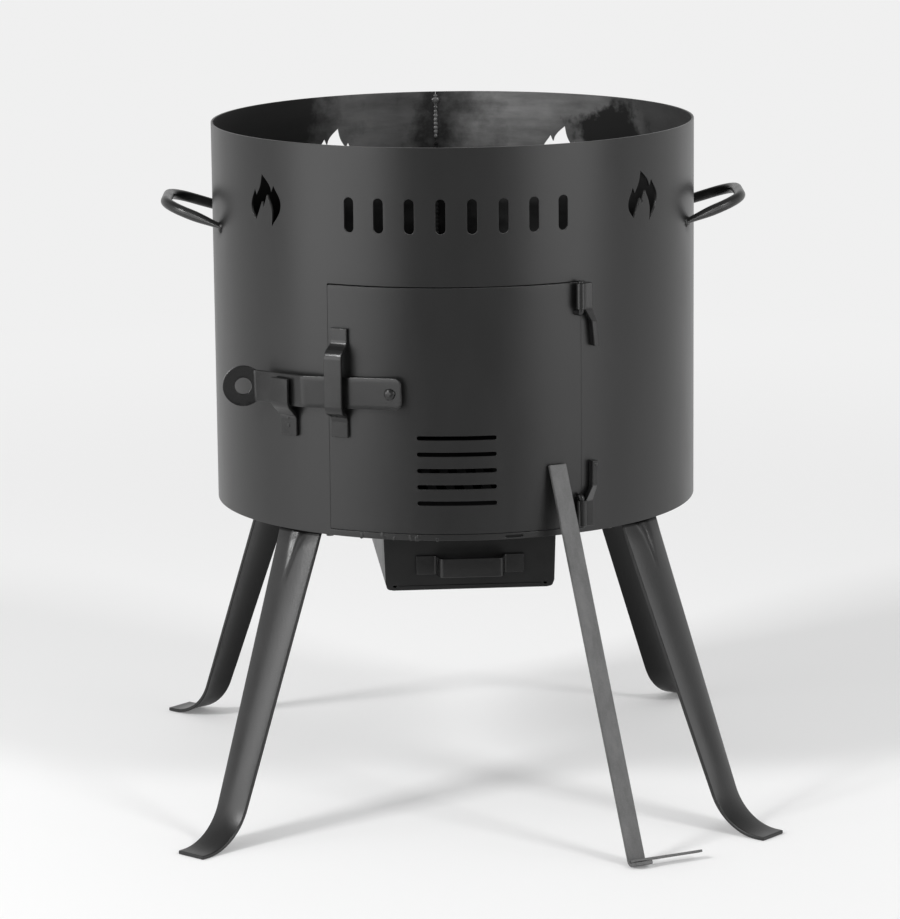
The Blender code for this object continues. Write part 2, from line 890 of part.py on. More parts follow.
def make_hinge_bracket(name, upper, material):
    """A strap welded on the drum, stepped out to the sleeve that holds the hinge pin."""
    middle, way = hinge_levels(upper)
    end = middle + way * sleeve_height / 2
    near = middle - way * sleeve_height / 2
    foot = end + way * bracket_step_height
    rows = (
        (near, hinge_radius, bracket_tab_start, bracket_tab_reach),
        (end, hinge_radius, bracket_tab_start, bracket_tab_reach),
        (foot, strap_middle, bracket_flat_start, bracket_flat_start + bracket_flat_width),
        (foot + way * bracket_flat_height, strap_middle, bracket_flat_start,
         bracket_flat_start + bracket_flat_width),
    )
    sheet = bmesh.new()
    bmesh.ops.create_grid(sheet, x_segments=strap_columns, y_segments=len(rows) - 1, size=1.0)
    for vertex in sheet.verts:
        height, radius, left, right = rows[round((vertex.co.y + 1) / 2 * (len(rows) - 1))]
        across = left + (right - left) * (vertex.co.x + 1) / 2
        vertex.co = polar(radius, hinge_bearing + across / drum_radius, height)
    bmesh.ops.recalc_face_normals(sheet, faces=sheet.faces)
    strap = loose_object(name, mesh_from(sheet, name))
    thicken(strap, strap_thickness)
    strap_mesh = baked(strap)
    ends = (middle - sleeve_height / 2, middle + sleeve_height / 2)
    sleeve = cylinder_mesh(name, sleeve_radius, *ends)
    sleeve.transform(Matrix.Translation(polar(hinge_radius, hinge_bearing)))
    bore = cylinder_mesh(
        name, pin_radius + pin_bore_gap, middle - sleeve_height, middle + sleeve_height,
        small_round_steps,
    )
    bore.transform(Matrix.Translation(polar(hinge_radius, hinge_bearing)))
    mesh = joined_mesh(name, joined_mesh(name, sleeve, [strap_mesh]), [bore], "DIFFERENCE")
    bracket = add_part(name, mesh, material)
    smooth_rounds(mesh)
    return bracket


def make_hinge_pin(name, upper, material, door_joint, core):
    """A bent pin: its shank stands in the sleeve and its foot is welded to the door."""
    middle, way = hinge_levels(upper)
    free_end = middle - way * (sleeve_height / 2 + pin_overhang)
    bend = middle + way * (sleeve_height / 2 + pin_leg_drop)
    path = rounded_path(
        [(0.0, 0.0, free_end), (0.0, 0.0, bend), (-pin_leg_side, hinge_stand_off + drum_wall, bend)],
        pin_bend_radius,
    )
    mesh = wire_mesh(name, path, pin_radius)
    placement = surface_frame(hinge_bearing, hinge_radius) @ Matrix.Rotation(-math.pi / 2, 4, "X")
    pin = add_part(name, mesh, material, placement, door_joint)
    cut(pin, core)
    smooth_rounds(mesh)
    return pin


def make_handle(name, side, material, core):
    """A round bar bent into a carrying handle, its ends welded to the drum."""
    inner = math.sqrt(drum_radius ** 2 - handle_half_span ** 2) - handle_root_depth
    reach = drum_radius + handle_reach
    path = rounded_path(
        [
            (-handle_half_span, 0.0, inner), (-handle_grip_half_span, handle_rise, reach),
            (handle_grip_half_span, handle_rise, reach), (handle_half_span, 0.0, inner),
        ],
        handle_bend_radius, 2 * bend_steps,
    )
    mesh = wire_mesh(name, path, handle_wire_radius, handle_wire_steps)
    bearing = shell_bearing + side * math.pi / 2
    handle = add_part(name, mesh, material, surface_frame(bearing, 0.0, drum_lift + handle_height))
    cut(handle, core)
    smooth_rounds(mesh)
    return handle


def leg_stations():
    """Rows down a leg: run from the bend, radius, height and lean from straight down."""
    flange_level = floor_underside - seat_gap - leg_plate / 2
    rows = [
        (-reach, leg_bend_start - reach, flange_level, math.pi / 2)
        for reach in (leg_flange_length, leg_flange_length / 2)
    ]
    for step in range(leg_bend_rows + 1):
        lean = math.pi / 2 + (leg_splay - math.pi / 2) * step / leg_bend_rows
        rows.append((
            0.0, leg_bend_start + leg_bend_radius * math.cos(lean),
            flange_level - leg_bend_radius * (1 - math.sin(lean)), lean,
        ))
    top = rows[-1]
    foot_level = leg_plate / 2
    shank_end = foot_level + leg_foot_radius * (1 - math.sin(leg_splay))
    drop = top[2] - shank_end
    for step in range(1, leg_shank_rows + 1):
        fall = drop * step / leg_shank_rows
        run = fall / math.cos(leg_splay)
        rows.append((run, top[1] + fall * math.tan(leg_splay), top[2] - fall, leg_splay))
    shank = rows[-1]
    for step in range(1, leg_foot_rows + 1):
        lean = leg_splay + (math.pi / 2 - leg_splay) * step / leg_foot_rows
        rows.append((
            shank[0] + leg_foot_radius * (lean - leg_splay),
            shank[1] + leg_foot_radius * (math.cos(leg_splay) - math.cos(lean)),
            shank[2] - leg_foot_radius * (math.sin(lean) - math.sin(leg_splay)), lean,
        ))
    last = rows[-1]
    rows.append((last[0] + leg_foot_flat, last[1] + leg_foot_flat, last[2], math.pi / 2))
    return rows


def leg_offset(run, length, across_share):
    """How far the leg's face bows out: a crown, and a dart pressed in under the bend."""
    start = min(max(run / leg_crown_run, 0.0), 1.0)
    end = min(max((length - leg_foot_flat - run) / leg_foot_run, 0.0), 1.0)
    crown = (leg_edge_lift + leg_crown_height * (1 - across_share ** 2)) * start * end
    dart_share = max(0.0, 1.0 - abs(across_share) / leg_dart_share)
    rise = min(max(run / leg_dart_start, 0.0), 1.0)
    fade = min(max(1.0 - run / leg_dart_run, 0.0), 1.0)
    return crown - leg_dart_depth * dart_share * rise * fade


def leg_mesh():
    """A pressed leg as a sheet: local X out of the drum, Y across the leg."""
    rows = leg_stations()
    length = rows[-1][0]
    columns = len(leg_column_shares) - 1
    sheet = bmesh.new()
    bmesh.ops.create_grid(sheet, x_segments=columns, y_segments=len(rows) - 1, size=1.0)
    for vertex in sheet.verts:
        share = leg_column_shares[round((vertex.co.x + 1) / 2 * columns)]
        run, radius, height, lean = rows[round((vertex.co.y + 1) / 2 * (len(rows) - 1))]
        taper = min(max(run / length, 0.0), 1.0)
        width = leg_top_width + (leg_foot_width - leg_top_width) * taper
        bow = leg_offset(run, length, share)
        vertex.co = (
            radius + bow * math.cos(lean), share * width / 2, height + bow * math.sin(lean),
        )
    bmesh.ops.recalc_face_normals(sheet, faces=sheet.faces)
    return mesh_from(sheet, "leg")


def make_legs(material, bolt_holes):
    """Four legs, each with a flange bolted under the firebox floor."""
    mesh = leg_mesh()
    smooth_rounds(mesh)
    for name, bearing in leg_bearings.items():
        leg = add_part(name, mesh, material, arc_start(bearing))
        thicken(leg, leg_plate)
        cut(leg, bolt_holes)


def bolt_places():
    """The placement of every leg bolt: two in each flange."""
    places = []
    for bearing in leg_bearings.values():
        for side in (-1.0, 1.0):
            spot = Matrix.Translation((leg_bend_start - bolt_setback, side * bolt_spacing / 2, 0.0))
            places.append(arc_start(bearing) @ spot)
    return places


def bolt_holes_cutter():
    """The bolt holes through the firebox floor and the leg flanges."""
    drill = cylinder_mesh(
        "drill", bolt_radius + bolt_hole_gap, floor_underside - leg_plate - cut_overrun,
        floor_top + cut_overrun, small_round_steps,
    )
    copies = [(drill, place) for place in bolt_places()]
    return add_cutter("bolt_holes", gathered_mesh("bolt_holes", copies))


def make_bolts(material):
    """Hexagon bolts put in from the firebox, and their nuts under the flanges."""
    head_low = floor_top + seat_gap
    nut_top = floor_underside - 2 * seat_gap - leg_plate
    nut_low = nut_top - nut_height
    head_radius = bolt_head_flats / math.sqrt(3)
    head = cylinder_mesh("bolt", head_radius, head_low, head_low + bolt_head_height, hexagon_sides)
    shank = cylinder_mesh(
        "bolt", bolt_radius, nut_low - bolt_tail, head_low + bolt_head_height / 2, small_round_steps)
    bolt = joined_mesh("bolt", head, [shank])
    nut = cylinder_mesh("nut", head_radius, nut_low, nut_top, hexagon_sides)
    bore = cylinder_mesh(
        "nut", bolt_radius + bolt_hole_gap, nut_low - cut_overrun, nut_top + cut_overrun,
        small_round_steps,
    )
    nut = joined_mesh("nut", nut, [bore], "DIFFERENCE")
    for mesh in (bolt, nut):
        smooth_rounds(mesh)
    for number, place in enumerate(bolt_places(), 1):
        add_part(f"leg_bolt_{number}", bolt, material, place)
        add_part(f"leg_nut_{number}", nut, material, place)


def make_rails(material):
    """Two bent rails under the floor and the stop across their back."""
    web = drawer_width / 2 + running_gap + rail_sheet / 2
    flange_level = floor_underside - seat_gap - rail_sheet / 2
    front = -drawer_front + seat_gap
    back = front + drawer_depth + drawer_back_clearance + rail_sheet
    for name, side in (("ash_rail_left", -1.0), ("ash_rail_right", 1.0)):
        path = rounded_path(
            [
                (side * (web + rail_flange), front, flange_level),
                (side * web, front, flange_level),
                (side * web, front, rail_lip_level),
                (side * (web - rail_lip), front, rail_lip_level),
            ],
            rail_bend_radius,
        )
        middle = Vector((drawer_offset, (back - front) / 2, 0.0))
        length = Vector((0.0, back - front, 0.0))
        mesh = ribbon_mesh(name, [point + middle for point in path], length)
        rail = add_part(name, mesh, material)
        thicken(rail, rail_sheet)
        smooth_rounds(mesh)
    half = web - rail_sheet / 2 - seat_gap
    top = flange_level + rail_sheet / 2 - seat_gap
    bottom = rail_lip_level + rail_sheet / 2 + rail_bend_radius
    low = (drawer_offset - half, back - rail_sheet, bottom)
    high = (drawer_offset + half, back, top)
    add_part("ash_rail_stop", box_mesh("ash_rail_stop", low, high), material)


def drawer_face_outline():
    """The drawer's front plate with its two lower corners rounded."""
    half = drawer_face_width / 2
    radius = drawer_face_radius
    outline = [(half, drawer_face_height), (-half, drawer_face_height)]
    outline += arc(radius, math.pi, 3 * math.pi / 2, bend_steps, (-half + radius, radius))
    outline += arc(radius, 3 * math.pi / 2, 2 * math.pi, bend_steps, (half - radius, radius))
    return outline


def make_drawer(material, drawer_joint):
    """The ash drawer: an open tray behind a larger front plate."""
    half = drawer_width / 2
    front = -drawer_front
    back = front + drawer_depth
    tray_top = tray_level + drawer_height
    face = outline_mesh("ash_drawer", [drawer_face_outline()], drawer_sheet)
    face.transform(surface_frame(0.0, drawer_front + drawer_sheet / 2, drawer_face_lift))
    tray = box_mesh("tray", (-half, front - drawer_sheet / 2, tray_level), (half, back, tray_top))
    hollow = box_mesh(
        "hollow", (-half + drawer_sheet, front + drawer_sheet / 2, tray_level + drawer_sheet),
        (half - drawer_sheet, back - drawer_sheet, tray_top + cut_overrun),
    )
    drawer = joined_mesh("ash_drawer", face, [tray])
    mesh = joined_mesh("ash_drawer", drawer, [hollow], "DIFFERENCE")
    placement = Matrix.Translation((drawer_offset, 0.0, 0.0))
    return add_part("ash_drawer", mesh, material, placement, drawer_joint)


def make_drawer_handle(material, drawer_joint):
    """A strap bent into a pull, spot-welded to the drawer's front."""
    flat = -(drawer_front + drawer_sheet + seat_gap + pull_thickness / 2)
    raised = flat - pull_stand_off
    path = rounded_path(
        [
            (-pull_half_length, flat, 0.0), (-pull_window_half, flat, 0.0),
            (-pull_grip_half, raised, 0.0), (pull_grip_half, raised, 0.0),
            (pull_window_half, flat, 0.0), (pull_half_length, flat, 0.0),
        ],
        pull_bend_radius,
    )
    mesh = ribbon_mesh("drawer_handle", path, Vector((0.0, 0.0, pull_height)))
    height = drawer_face_lift + pull_lift + pull_height / 2
    placement = Matrix.Translation((drawer_offset, 0.0, height))
    pull = add_part("drawer_handle", mesh, material, placement, drawer_joint)
    thicken(pull, pull_thickness)
    smooth_rounds(mesh)
    return pull


def scraper_frame():
    """The scraper's frame: X to the right along the door, Y up, Z out of the drum."""
    return surface_frame(scraper_bearing)


def scraper_lean():
    """The strip's lean from upright, in the plane that points out of the drum."""
    return math.atan2(scraper_foot_reach, scraper_top_height)


def scraper_top_out():
    """The distance from the drum's axis to the middle of the strip's top end."""
    return drum_radius + seat_gap + scraper_thickness / 2 / math.cos(scraper_lean())


def make_scraper(material, scraper_joint):
    """The ash scraper: a strip leaning on the door, with a blade across its hooked foot."""
    lean = scraper_lean()
    outer_turn = scraper_bend_radius + scraper_thickness / 2
    corner_height = outer_turn - scraper_bend_radius * math.sqrt(2) * math.cos(math.pi / 4 - lean)
    corner = Vector((scraper_foot_side, corner_height, scraper_top_out() + scraper_foot_reach))
    top = Vector((scraper_top_side, scraper_top_height, scraper_top_out()))
    hook = Vector((0.0, math.sin(lean), math.cos(lean)))
    path = rounded_path([top, corner, corner + hook * scraper_hook], scraper_bend_radius)
    width = Vector((scraper_width, 0.0, 0.0))
    strip = ribbon_mesh("ash_scraper", path, width)
    scraper = add_part("ash_scraper", strip, material, scraper_frame(), scraper_joint)
    thicken(scraper, scraper_thickness)
    smooth_rounds(strip)
    side = -scraper_width / 2
    face = scraper_thickness / 2 + seat_gap
    blade = box_mesh(
        "scraper_blade", (side, face, 0.0),
        (side + blade_length, face + blade_thickness, blade_depth),
    )
    along_hook = Matrix.Rotation(-lean, 4, "X")
    start = corner + hook * (scraper_hook - blade_depth)
    placement = scraper_frame() @ Matrix.Translation(start) @ along_hook
    return add_part("scraper_blade", blade, material, placement, scraper_joint)


def stand_centre():
    """Half the distance by which the scraper's foot reaches further out than the feet."""
    rows = leg_stations()
    foot = rows[-1][1] * math.cos(math.pi / 4) + leg_foot_width / 2 * math.sin(math.pi / 4)
    lean = scraper_lean()
    hook_out = (
        scraper_top_out() + scraper_foot_reach + scraper_hook * math.cos(lean)
        + scraper_thickness / 2 * math.sin(lean)
    )
    side = scraper_foot_side - scraper_width / 2
    front = hook_out * math.cos(scraper_bearing) - side * math.sin(scraper_bearing)
    return (front - foot) / 2


def build():
    """Model the whole stove."""
    global parts, cutters, stove
    clear_scene()
    parts = new_collection("cauldron_stove")
    cutters = new_collection("cauldron_stove_cutters")
    stove = bpy.data.objects.new("stove_axis", None)
    parts.objects.link(stove)
    stove.location = (0.0, stand_centre(), 0.0)

    sheet = steel("black_enamelled_sheet", 0.035, 0.5)
    leg_steel = steel("black_pressed_leg", 0.04, 0.42)
    strap_steel = steel("black_strap", 0.035, 0.45)
    fixing_steel = steel("zinc_fixing", 0.25, 0.4, 1.0)
    grate_steel = steel("cast_grate", 0.05, 0.75)
    scraper_steel = steel("grey_scraper_steel", 0.16, 0.45, 0.4)

    hinge_place = Matrix.Translation(polar(hinge_radius, hinge_bearing, door_bottom))
    drawer_place = Matrix.Translation(polar(drawer_front, 0.0, drawer_face_lift))
    door_joint = add_joint("door_hinge_axis", hinge_place)
    latch_joint = add_joint("latch_pivot_axis", pivot_frame(), door_joint)
    drawer_joint = add_joint("drawer_slide_axis", drawer_place)
    grate_joint = add_joint("grate_lift_axis", Matrix.Translation((0.0, 0.0, floor_top)))
    scraper_joint = add_joint("scraper_slide_axis", scraper_frame())

    bolt_holes = bolt_holes_cutter()
    core = add_cutter("drum_core", drum_core("drum_core", drum_lift - cut_overrun, drum_top))

    make_drum_shell(sheet)
    make_floor_plate(sheet, bolt_holes)
    make_grate(grate_steel, grate_joint)
    make_door_panel(sheet, door_joint)
    for name, upper in (("upper", True), ("lower", False)):
        make_hinge_bracket("hinge_bracket_" + name, upper, strap_steel)
        make_hinge_pin("hinge_pin_" + name, upper, strap_steel, door_joint, core)
    make_latch_guide(strap_steel, door_joint)
    make_latch_keeper(strap_steel)
    make_latch_bar(strap_steel, latch_joint)
    make_latch_rivet(strap_steel, door_joint)
    make_latch_spacer(strap_steel, door_joint, core)
    make_handle("handle_left", -1.0, strap_steel, core)
    make_handle("handle_right", 1.0, strap_steel, core)
    make_legs(leg_steel, bolt_holes)
    make_bolts(fixing_steel)
    make_rails(sheet)
    make_drawer(sheet, drawer_joint)
    make_drawer_handle(strap_steel, drawer_joint)
    make_scraper(scraper_steel, scraper_joint)


build()
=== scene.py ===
import functools
import math

import bpy
import numpy as np
from mathutils import Matrix, Vector
from mathutils.geometry import delaunay_2d_cdt


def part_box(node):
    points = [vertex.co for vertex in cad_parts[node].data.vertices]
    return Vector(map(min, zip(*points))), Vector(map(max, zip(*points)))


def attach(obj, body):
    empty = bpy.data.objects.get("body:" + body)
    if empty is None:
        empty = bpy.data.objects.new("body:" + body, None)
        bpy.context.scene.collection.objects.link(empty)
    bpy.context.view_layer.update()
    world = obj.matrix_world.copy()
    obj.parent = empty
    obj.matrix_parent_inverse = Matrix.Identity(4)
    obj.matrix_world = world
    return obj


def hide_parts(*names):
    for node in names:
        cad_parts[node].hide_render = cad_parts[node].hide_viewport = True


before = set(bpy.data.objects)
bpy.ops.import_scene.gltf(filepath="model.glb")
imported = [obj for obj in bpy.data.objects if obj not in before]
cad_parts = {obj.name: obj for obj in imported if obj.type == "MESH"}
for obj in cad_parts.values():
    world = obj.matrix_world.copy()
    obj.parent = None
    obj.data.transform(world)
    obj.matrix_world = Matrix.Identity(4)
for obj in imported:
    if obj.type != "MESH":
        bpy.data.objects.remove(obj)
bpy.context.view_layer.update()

# Cauldron stove: a sheet steel drum on legs, with a door, a latch, an ash drawer and a scraper.
# Sizes are in millimetres from the drum's axis and the floor; bearings run from front to +X.

drumLow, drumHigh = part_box("drum_shell")
axisPlace = np.array([(drumLow[0] + drumHigh[0]) / 2, (drumLow[1] + drumHigh[1]) / 2, 0.0])
metresPerMillimetre = 0.001

drum = {
    "radius": 200.0, "wall": 2.0, "low": 243.9, "top": 558.6,
    "edge": 0.3,                # rounding of the cut sheet edges under the paint
    "gridAcross": 6.0, "gridUp": 11.0,
    "shellBearing": -4.3, "seamBearing": 179.5, "seamGap": 0.3,
    "slotCount": 8, "slotWidth": 8.0, "slotHeight": 28.0, "slotPitch": 25.0,
    "slotLevel": 504.0, "slotShift": 1.0,
    "flameBearings": (-53.5, 45.0, 146.8, -153.6), "flameWidth": 37.0, "flameHeight": 41.3,
    "flameLow": 489.0,
    "sillSlotBearing": 8.7, "sillSlotLevel": 246.15, "sillSlotWidth": 15.0, "sillSlotHeight": 2.0,
    "dentDepth": 0.25, "dentSpread": 11.0,   # the sheet pulls in where the handles are welded
}
door = {
    "bearing": -4.7, "halfWidth": 105.6, "low": 249.3, "high": 447.1,
    "gapSide": -0.1, "gapTop": 1.1, "gapBottom": 0.4, "gapShift": -0.05,
    "cornerRadius": 1.2,
    "slitCount": 5, "slitWidth": 64.0, "slitHeight": 3.6, "slitPitch": 13.2, "slitLevel": 300.5,
    "slitShift": 1.0,
}
print("cauldron stove: frame loaded")


def asPoints(x, y, z):
    # numbers or arrays as one array of points
    return np.stack(np.broadcast_arrays(x, y, z), -1)


def onFace(across, height, depth=0.0):
    # a point of the rolled sheet: the arc round the front, the height, and the depth under the face
    bearing = np.asarray(across) / drum["radius"]
    reach = drum["radius"] - np.asarray(depth)
    return asPoints(reach * np.sin(bearing), -reach * np.cos(bearing), height)


def frameAt(degrees, radius=0.0, height=0.0):
    # the places of local points: X to the right seen from outside, Y up, Z out of the drum
    bearing = math.radians(degrees)
    right = np.array([math.cos(bearing), math.sin(bearing), 0.0])
    out = np.array([math.sin(bearing), -math.cos(bearing), 0.0])
    up = np.array([0.0, 0.0, 1.0])
    start = out * radius + up * height

    def place(x, y, z):
        x, y, z = np.broadcast_arrays(x, y, z)
        return start + x[..., None] * right + y[..., None] * up + z[..., None] * out

    return place


def arcPoints(radius, first, last, steps, centre=(0.0, 0.0)):
    # points on a circle from one angle to another, in degrees, both included
    angles = np.radians(np.linspace(first, last, steps + 1))
    return np.stack([centre[0] + radius * np.cos(angles), centre[1] + radius * np.sin(angles)], 1)


def roundedLoop(width, height, radius, centre=(0.0, 0.0), steps=6):
    # a rectangle with rounded corners, counterclockwise; a radius of half the height gives a slot
    runX, runY = width / 2 - radius, height / 2 - radius
    corners = [
        arcPoints(radius, turn, turn + 90, steps, (centre[0] + sx * runX, centre[1] + sy * runY))
        for turn, sx, sy in ((0, 1, 1), (90, -1, 1), (180, -1, -1), (270, 1, -1))
    ]
    return withoutRepeats(np.concatenate(corners))


def withoutRepeats(loop):
    # drops each point that lies on the one before it
    step = np.linalg.norm(loop - np.roll(loop, 1, 0), axis=1)
    return loop[step > 1e-6]


def finely(loop, longest):
    # the same closed loop with each straight run split into steps no longer than this
    pieces = []
    for start, end in zip(loop, np.roll(loop, -1, 0)):
        count = max(1, math.ceil(np.linalg.norm(end - start) / longest))
        pieces.append(start + (end - start) * np.linspace(0, 1, count, endpoint=False)[:, None])
    return np.concatenate(pieces)


def roundedPath(corners, radius, arcStep=0.8):
    # a path of straight runs whose inner corners are arcs of one radius, in any number of axes
    corners = [np.asarray(corner, float) for corner in corners]
    path = [corners[0][None]]
    for before, corner, after in zip(corners, corners[1:], corners[2:]):
        back = (before - corner) / np.linalg.norm(before - corner)
        ahead = (after - corner) / np.linalg.norm(after - corner)
        half = math.acos(np.clip(back @ ahead, -1, 1)) / 2
        middle = (back + ahead) / np.linalg.norm(back + ahead)
        centre = corner + middle * radius / math.sin(half)
        count = max(3, math.ceil(radius * (math.pi - 2 * half) / arcStep))
        sweep = np.linspace(-1, 1, count + 1)[:, None] * (math.pi / 2 - half)
        side = (ahead - back) / np.linalg.norm(ahead - back)
        path.append(centre - middle * radius * np.cos(sweep) + side * radius * np.sin(sweep))
    path.append(corners[-1][None])
    return np.concatenate(path)


def runAlong(path):
    # how far along a path each of its points lies
    return np.concatenate([[0], np.cumsum(np.linalg.norm(np.diff(path, axis=0), axis=1))])


def tangentsOf(path):
    # unit directions along a path, from the steps on both sides of each point
    steps = np.diff(path, axis=0)
    steps = steps / np.linalg.norm(steps, axis=1)[:, None]
    joined = np.concatenate([steps[:1], steps[:-1] + steps[1:], steps[-1:]])
    return joined / np.linalg.norm(joined, axis=1)[:, None]


def endRounding(path, edge, steps=3):
    # stations along a path with the inset of the section there: its ends are rounded by the edge
    tangents = tangentsOf(path)
    turn = np.linspace(0, np.pi / 2, steps + 1)
    back, inset = edge * (1 - np.cos(turn))[:, None], edge * (1 - np.sin(turn))
    centres = np.concatenate([
        path[0] + tangents[0] * back, path[1:-1], (path[-1] - tangents[-1] * back)[::-1]])
    middle = np.zeros(len(path) - 2)
    along = np.concatenate([
        np.repeat(tangents[:1], steps + 1, 0), tangents[1:-1],
        np.repeat(tangents[-1:], steps + 1, 0)])
    return centres, along, np.concatenate([inset, middle, inset[::-1]])


def barSection(flatSteps, arcSteps):
    # one turn round a flat bar: shares of the straight width and thickness, then the corner's
    # cosine and sine, so that a point is share * (half size - radius) + radius * cosine or sine
    quarter = np.linspace(0, np.pi / 2, arcSteps + 1)
    between = np.linspace(1, -1, flatSteps + 1)[1:-1]
    columns = []
    for turn, (across, up) in enumerate(((1, 1), (-1, 1), (-1, -1), (1, -1))):
        angles = quarter + turn * np.pi / 2
        one = np.ones_like(angles)
        columns.append(np.stack([one * across, one * up, np.cos(angles), np.sin(angles)]))
        if turn in (0, 2) and len(between):
            one = np.ones_like(between)
            columns.append(np.stack([between * up, one * up, one * 0, one * up]))
    return np.concatenate(columns, axis=1)


def strap(path, width, thickness, edge, place, shift=0.0, flatSteps=2, bow=None):
    # a flat bar with rounded edges carried along a path in the (along, out) plane; place turns
    # (across, along, out) into a point, and bow pushes the section out by station and share
    sizes = np.concatenate([
        path, np.broadcast_to(np.asarray(width, float), len(path))[:, None],
        np.broadcast_to(np.asarray(shift, float), len(path))[:, None]], 1)
    centres, along, inset = endRounding(path, edge)
    reach, stations = runAlong(path), runAlong(centres)
    wide = np.interp(stations, reach, sizes[:, 2])[:, None]
    moved = np.interp(stations, reach, sizes[:, 3])[:, None]
    across, up, cosine, sine = barSection(flatSteps, 3)
    inset = inset[:, None]
    radius = np.maximum(edge - inset, 0.02)
    side = across * (wide / 2 - inset - radius) + radius * cosine
    lift = up * (thickness / 2 - inset - radius) + radius * sine
    if bow is not None:
        lift = lift + bow(stations[:, None], side / (wide / 2))
    normals = np.stack([-along[:, 1], along[:, 0]], 1)
    outline = centres[:, None, :] + lift[..., None] * normals[:, None]
    return loft(place(side + moved, outline[..., 0], outline[..., 1]))


def tube(path, acrossRadius, upRadius, up, edge, steps):
    # a round or oval bar along a path in space; up is the direction of its second radius
    centres, along, inset = endRounding(path, edge)
    reach, stations = runAlong(path), runAlong(centres)
    first = np.interp(stations, reach, np.broadcast_to(acrossRadius, len(path))) - inset
    second = np.interp(stations, reach, np.broadcast_to(upRadius, len(path))) - inset
    side = np.cross(along, np.asarray(up, float))
    side = side / np.linalg.norm(side, axis=1)[:, None]
    lift = np.cross(side, along)
    turn = np.linspace(0, 2 * np.pi, steps, endpoint=False)
    rings = centres[:, None] + (
        np.cos(turn)[None, :, None] * (first[:, None] * side)[:, None]
        + np.sin(turn)[None, :, None] * (second[:, None] * lift)[:, None])
    return loft(rings)


def loft(rings, endless=False):
    # rings of points joined into a skin; both ends are closed unless the last ring meets the first
    count, around = rings.shape[:2]
    index = np.arange(count * around).reshape(count, around)
    rows = index if not endless else np.concatenate([index, index[:1]])
    beside = np.roll(rows, -1, 1)
    quads = np.stack([rows[:-1], beside[:-1], beside[1:], rows[1:]], -1).reshape(-1, 4)
    caps = [] if endless else [index[:1, ::-1], index[-1:]]
    return rings.reshape(-1, 3), [quads, *caps]


def turned(profile, steps, place):
    # a closed loop of (radius, height) points turned round the local height axis
    turn = np.linspace(0, 2 * np.pi, steps, endpoint=False)
    radius, height = profile[:, :1], profile[:, 1:]
    return loft(place(radius * np.cos(turn), radius * np.sin(turn), height + 0 * turn), True)


def together(solids):
    # several closed skins as one mesh, each turned so that its faces point outwards
    vertices, faces, start = [], [], 0
    for points, groups in solids:
        points = np.asarray(points, float)
        volume = 0.0
        for group in groups:
            corner = points[group]
            for k in range(1, group.shape[1] - 1):
                volume += np.einsum(
                    "ij,ij->", corner[:, 0], np.cross(corner[:, k], corner[:, k + 1]))
        faces += [(group if volume > 0 else group[:, ::-1]) + start for group in groups]
        vertices.append(points)
        start += len(points)
    return np.concatenate(vertices), faces


def loopNormals(loop):
    # unit directions into the sheet at each point of an outline that has the sheet on its left
    steps = np.roll(loop, -1, 0) - loop
    steps = steps / np.linalg.norm(steps, axis=1)[:, None]
    left = np.stack([-steps[:, 1], steps[:, 0]], 1)
    before = np.roll(left, 1, 0)
    both = left + before
    return both / np.maximum(np.einsum("ij,ij->i", both, both)[:, None] / 2, 0.6)


def insideOf(points, loops):
    # True for points that an odd number of outlines goes round
    crossed = np.zeros(len(points), int)
    for loop in loops:
        start, end = loop, np.roll(loop, -1, 0)
        low, high = start[:, 1][None], end[:, 1][None]
        level = points[:, 1][:, None]
        spans = (low > level) != (high > level)
        rise = np.where(high == low, 1.0, high - low)
        at = start[:, 0][None] + (end[:, 0] - start[:, 0])[None] * (level - low) / rise
        crossed += (spans & (points[:, 0][:, None] < at)).sum(1)
    return crossed % 2 == 1


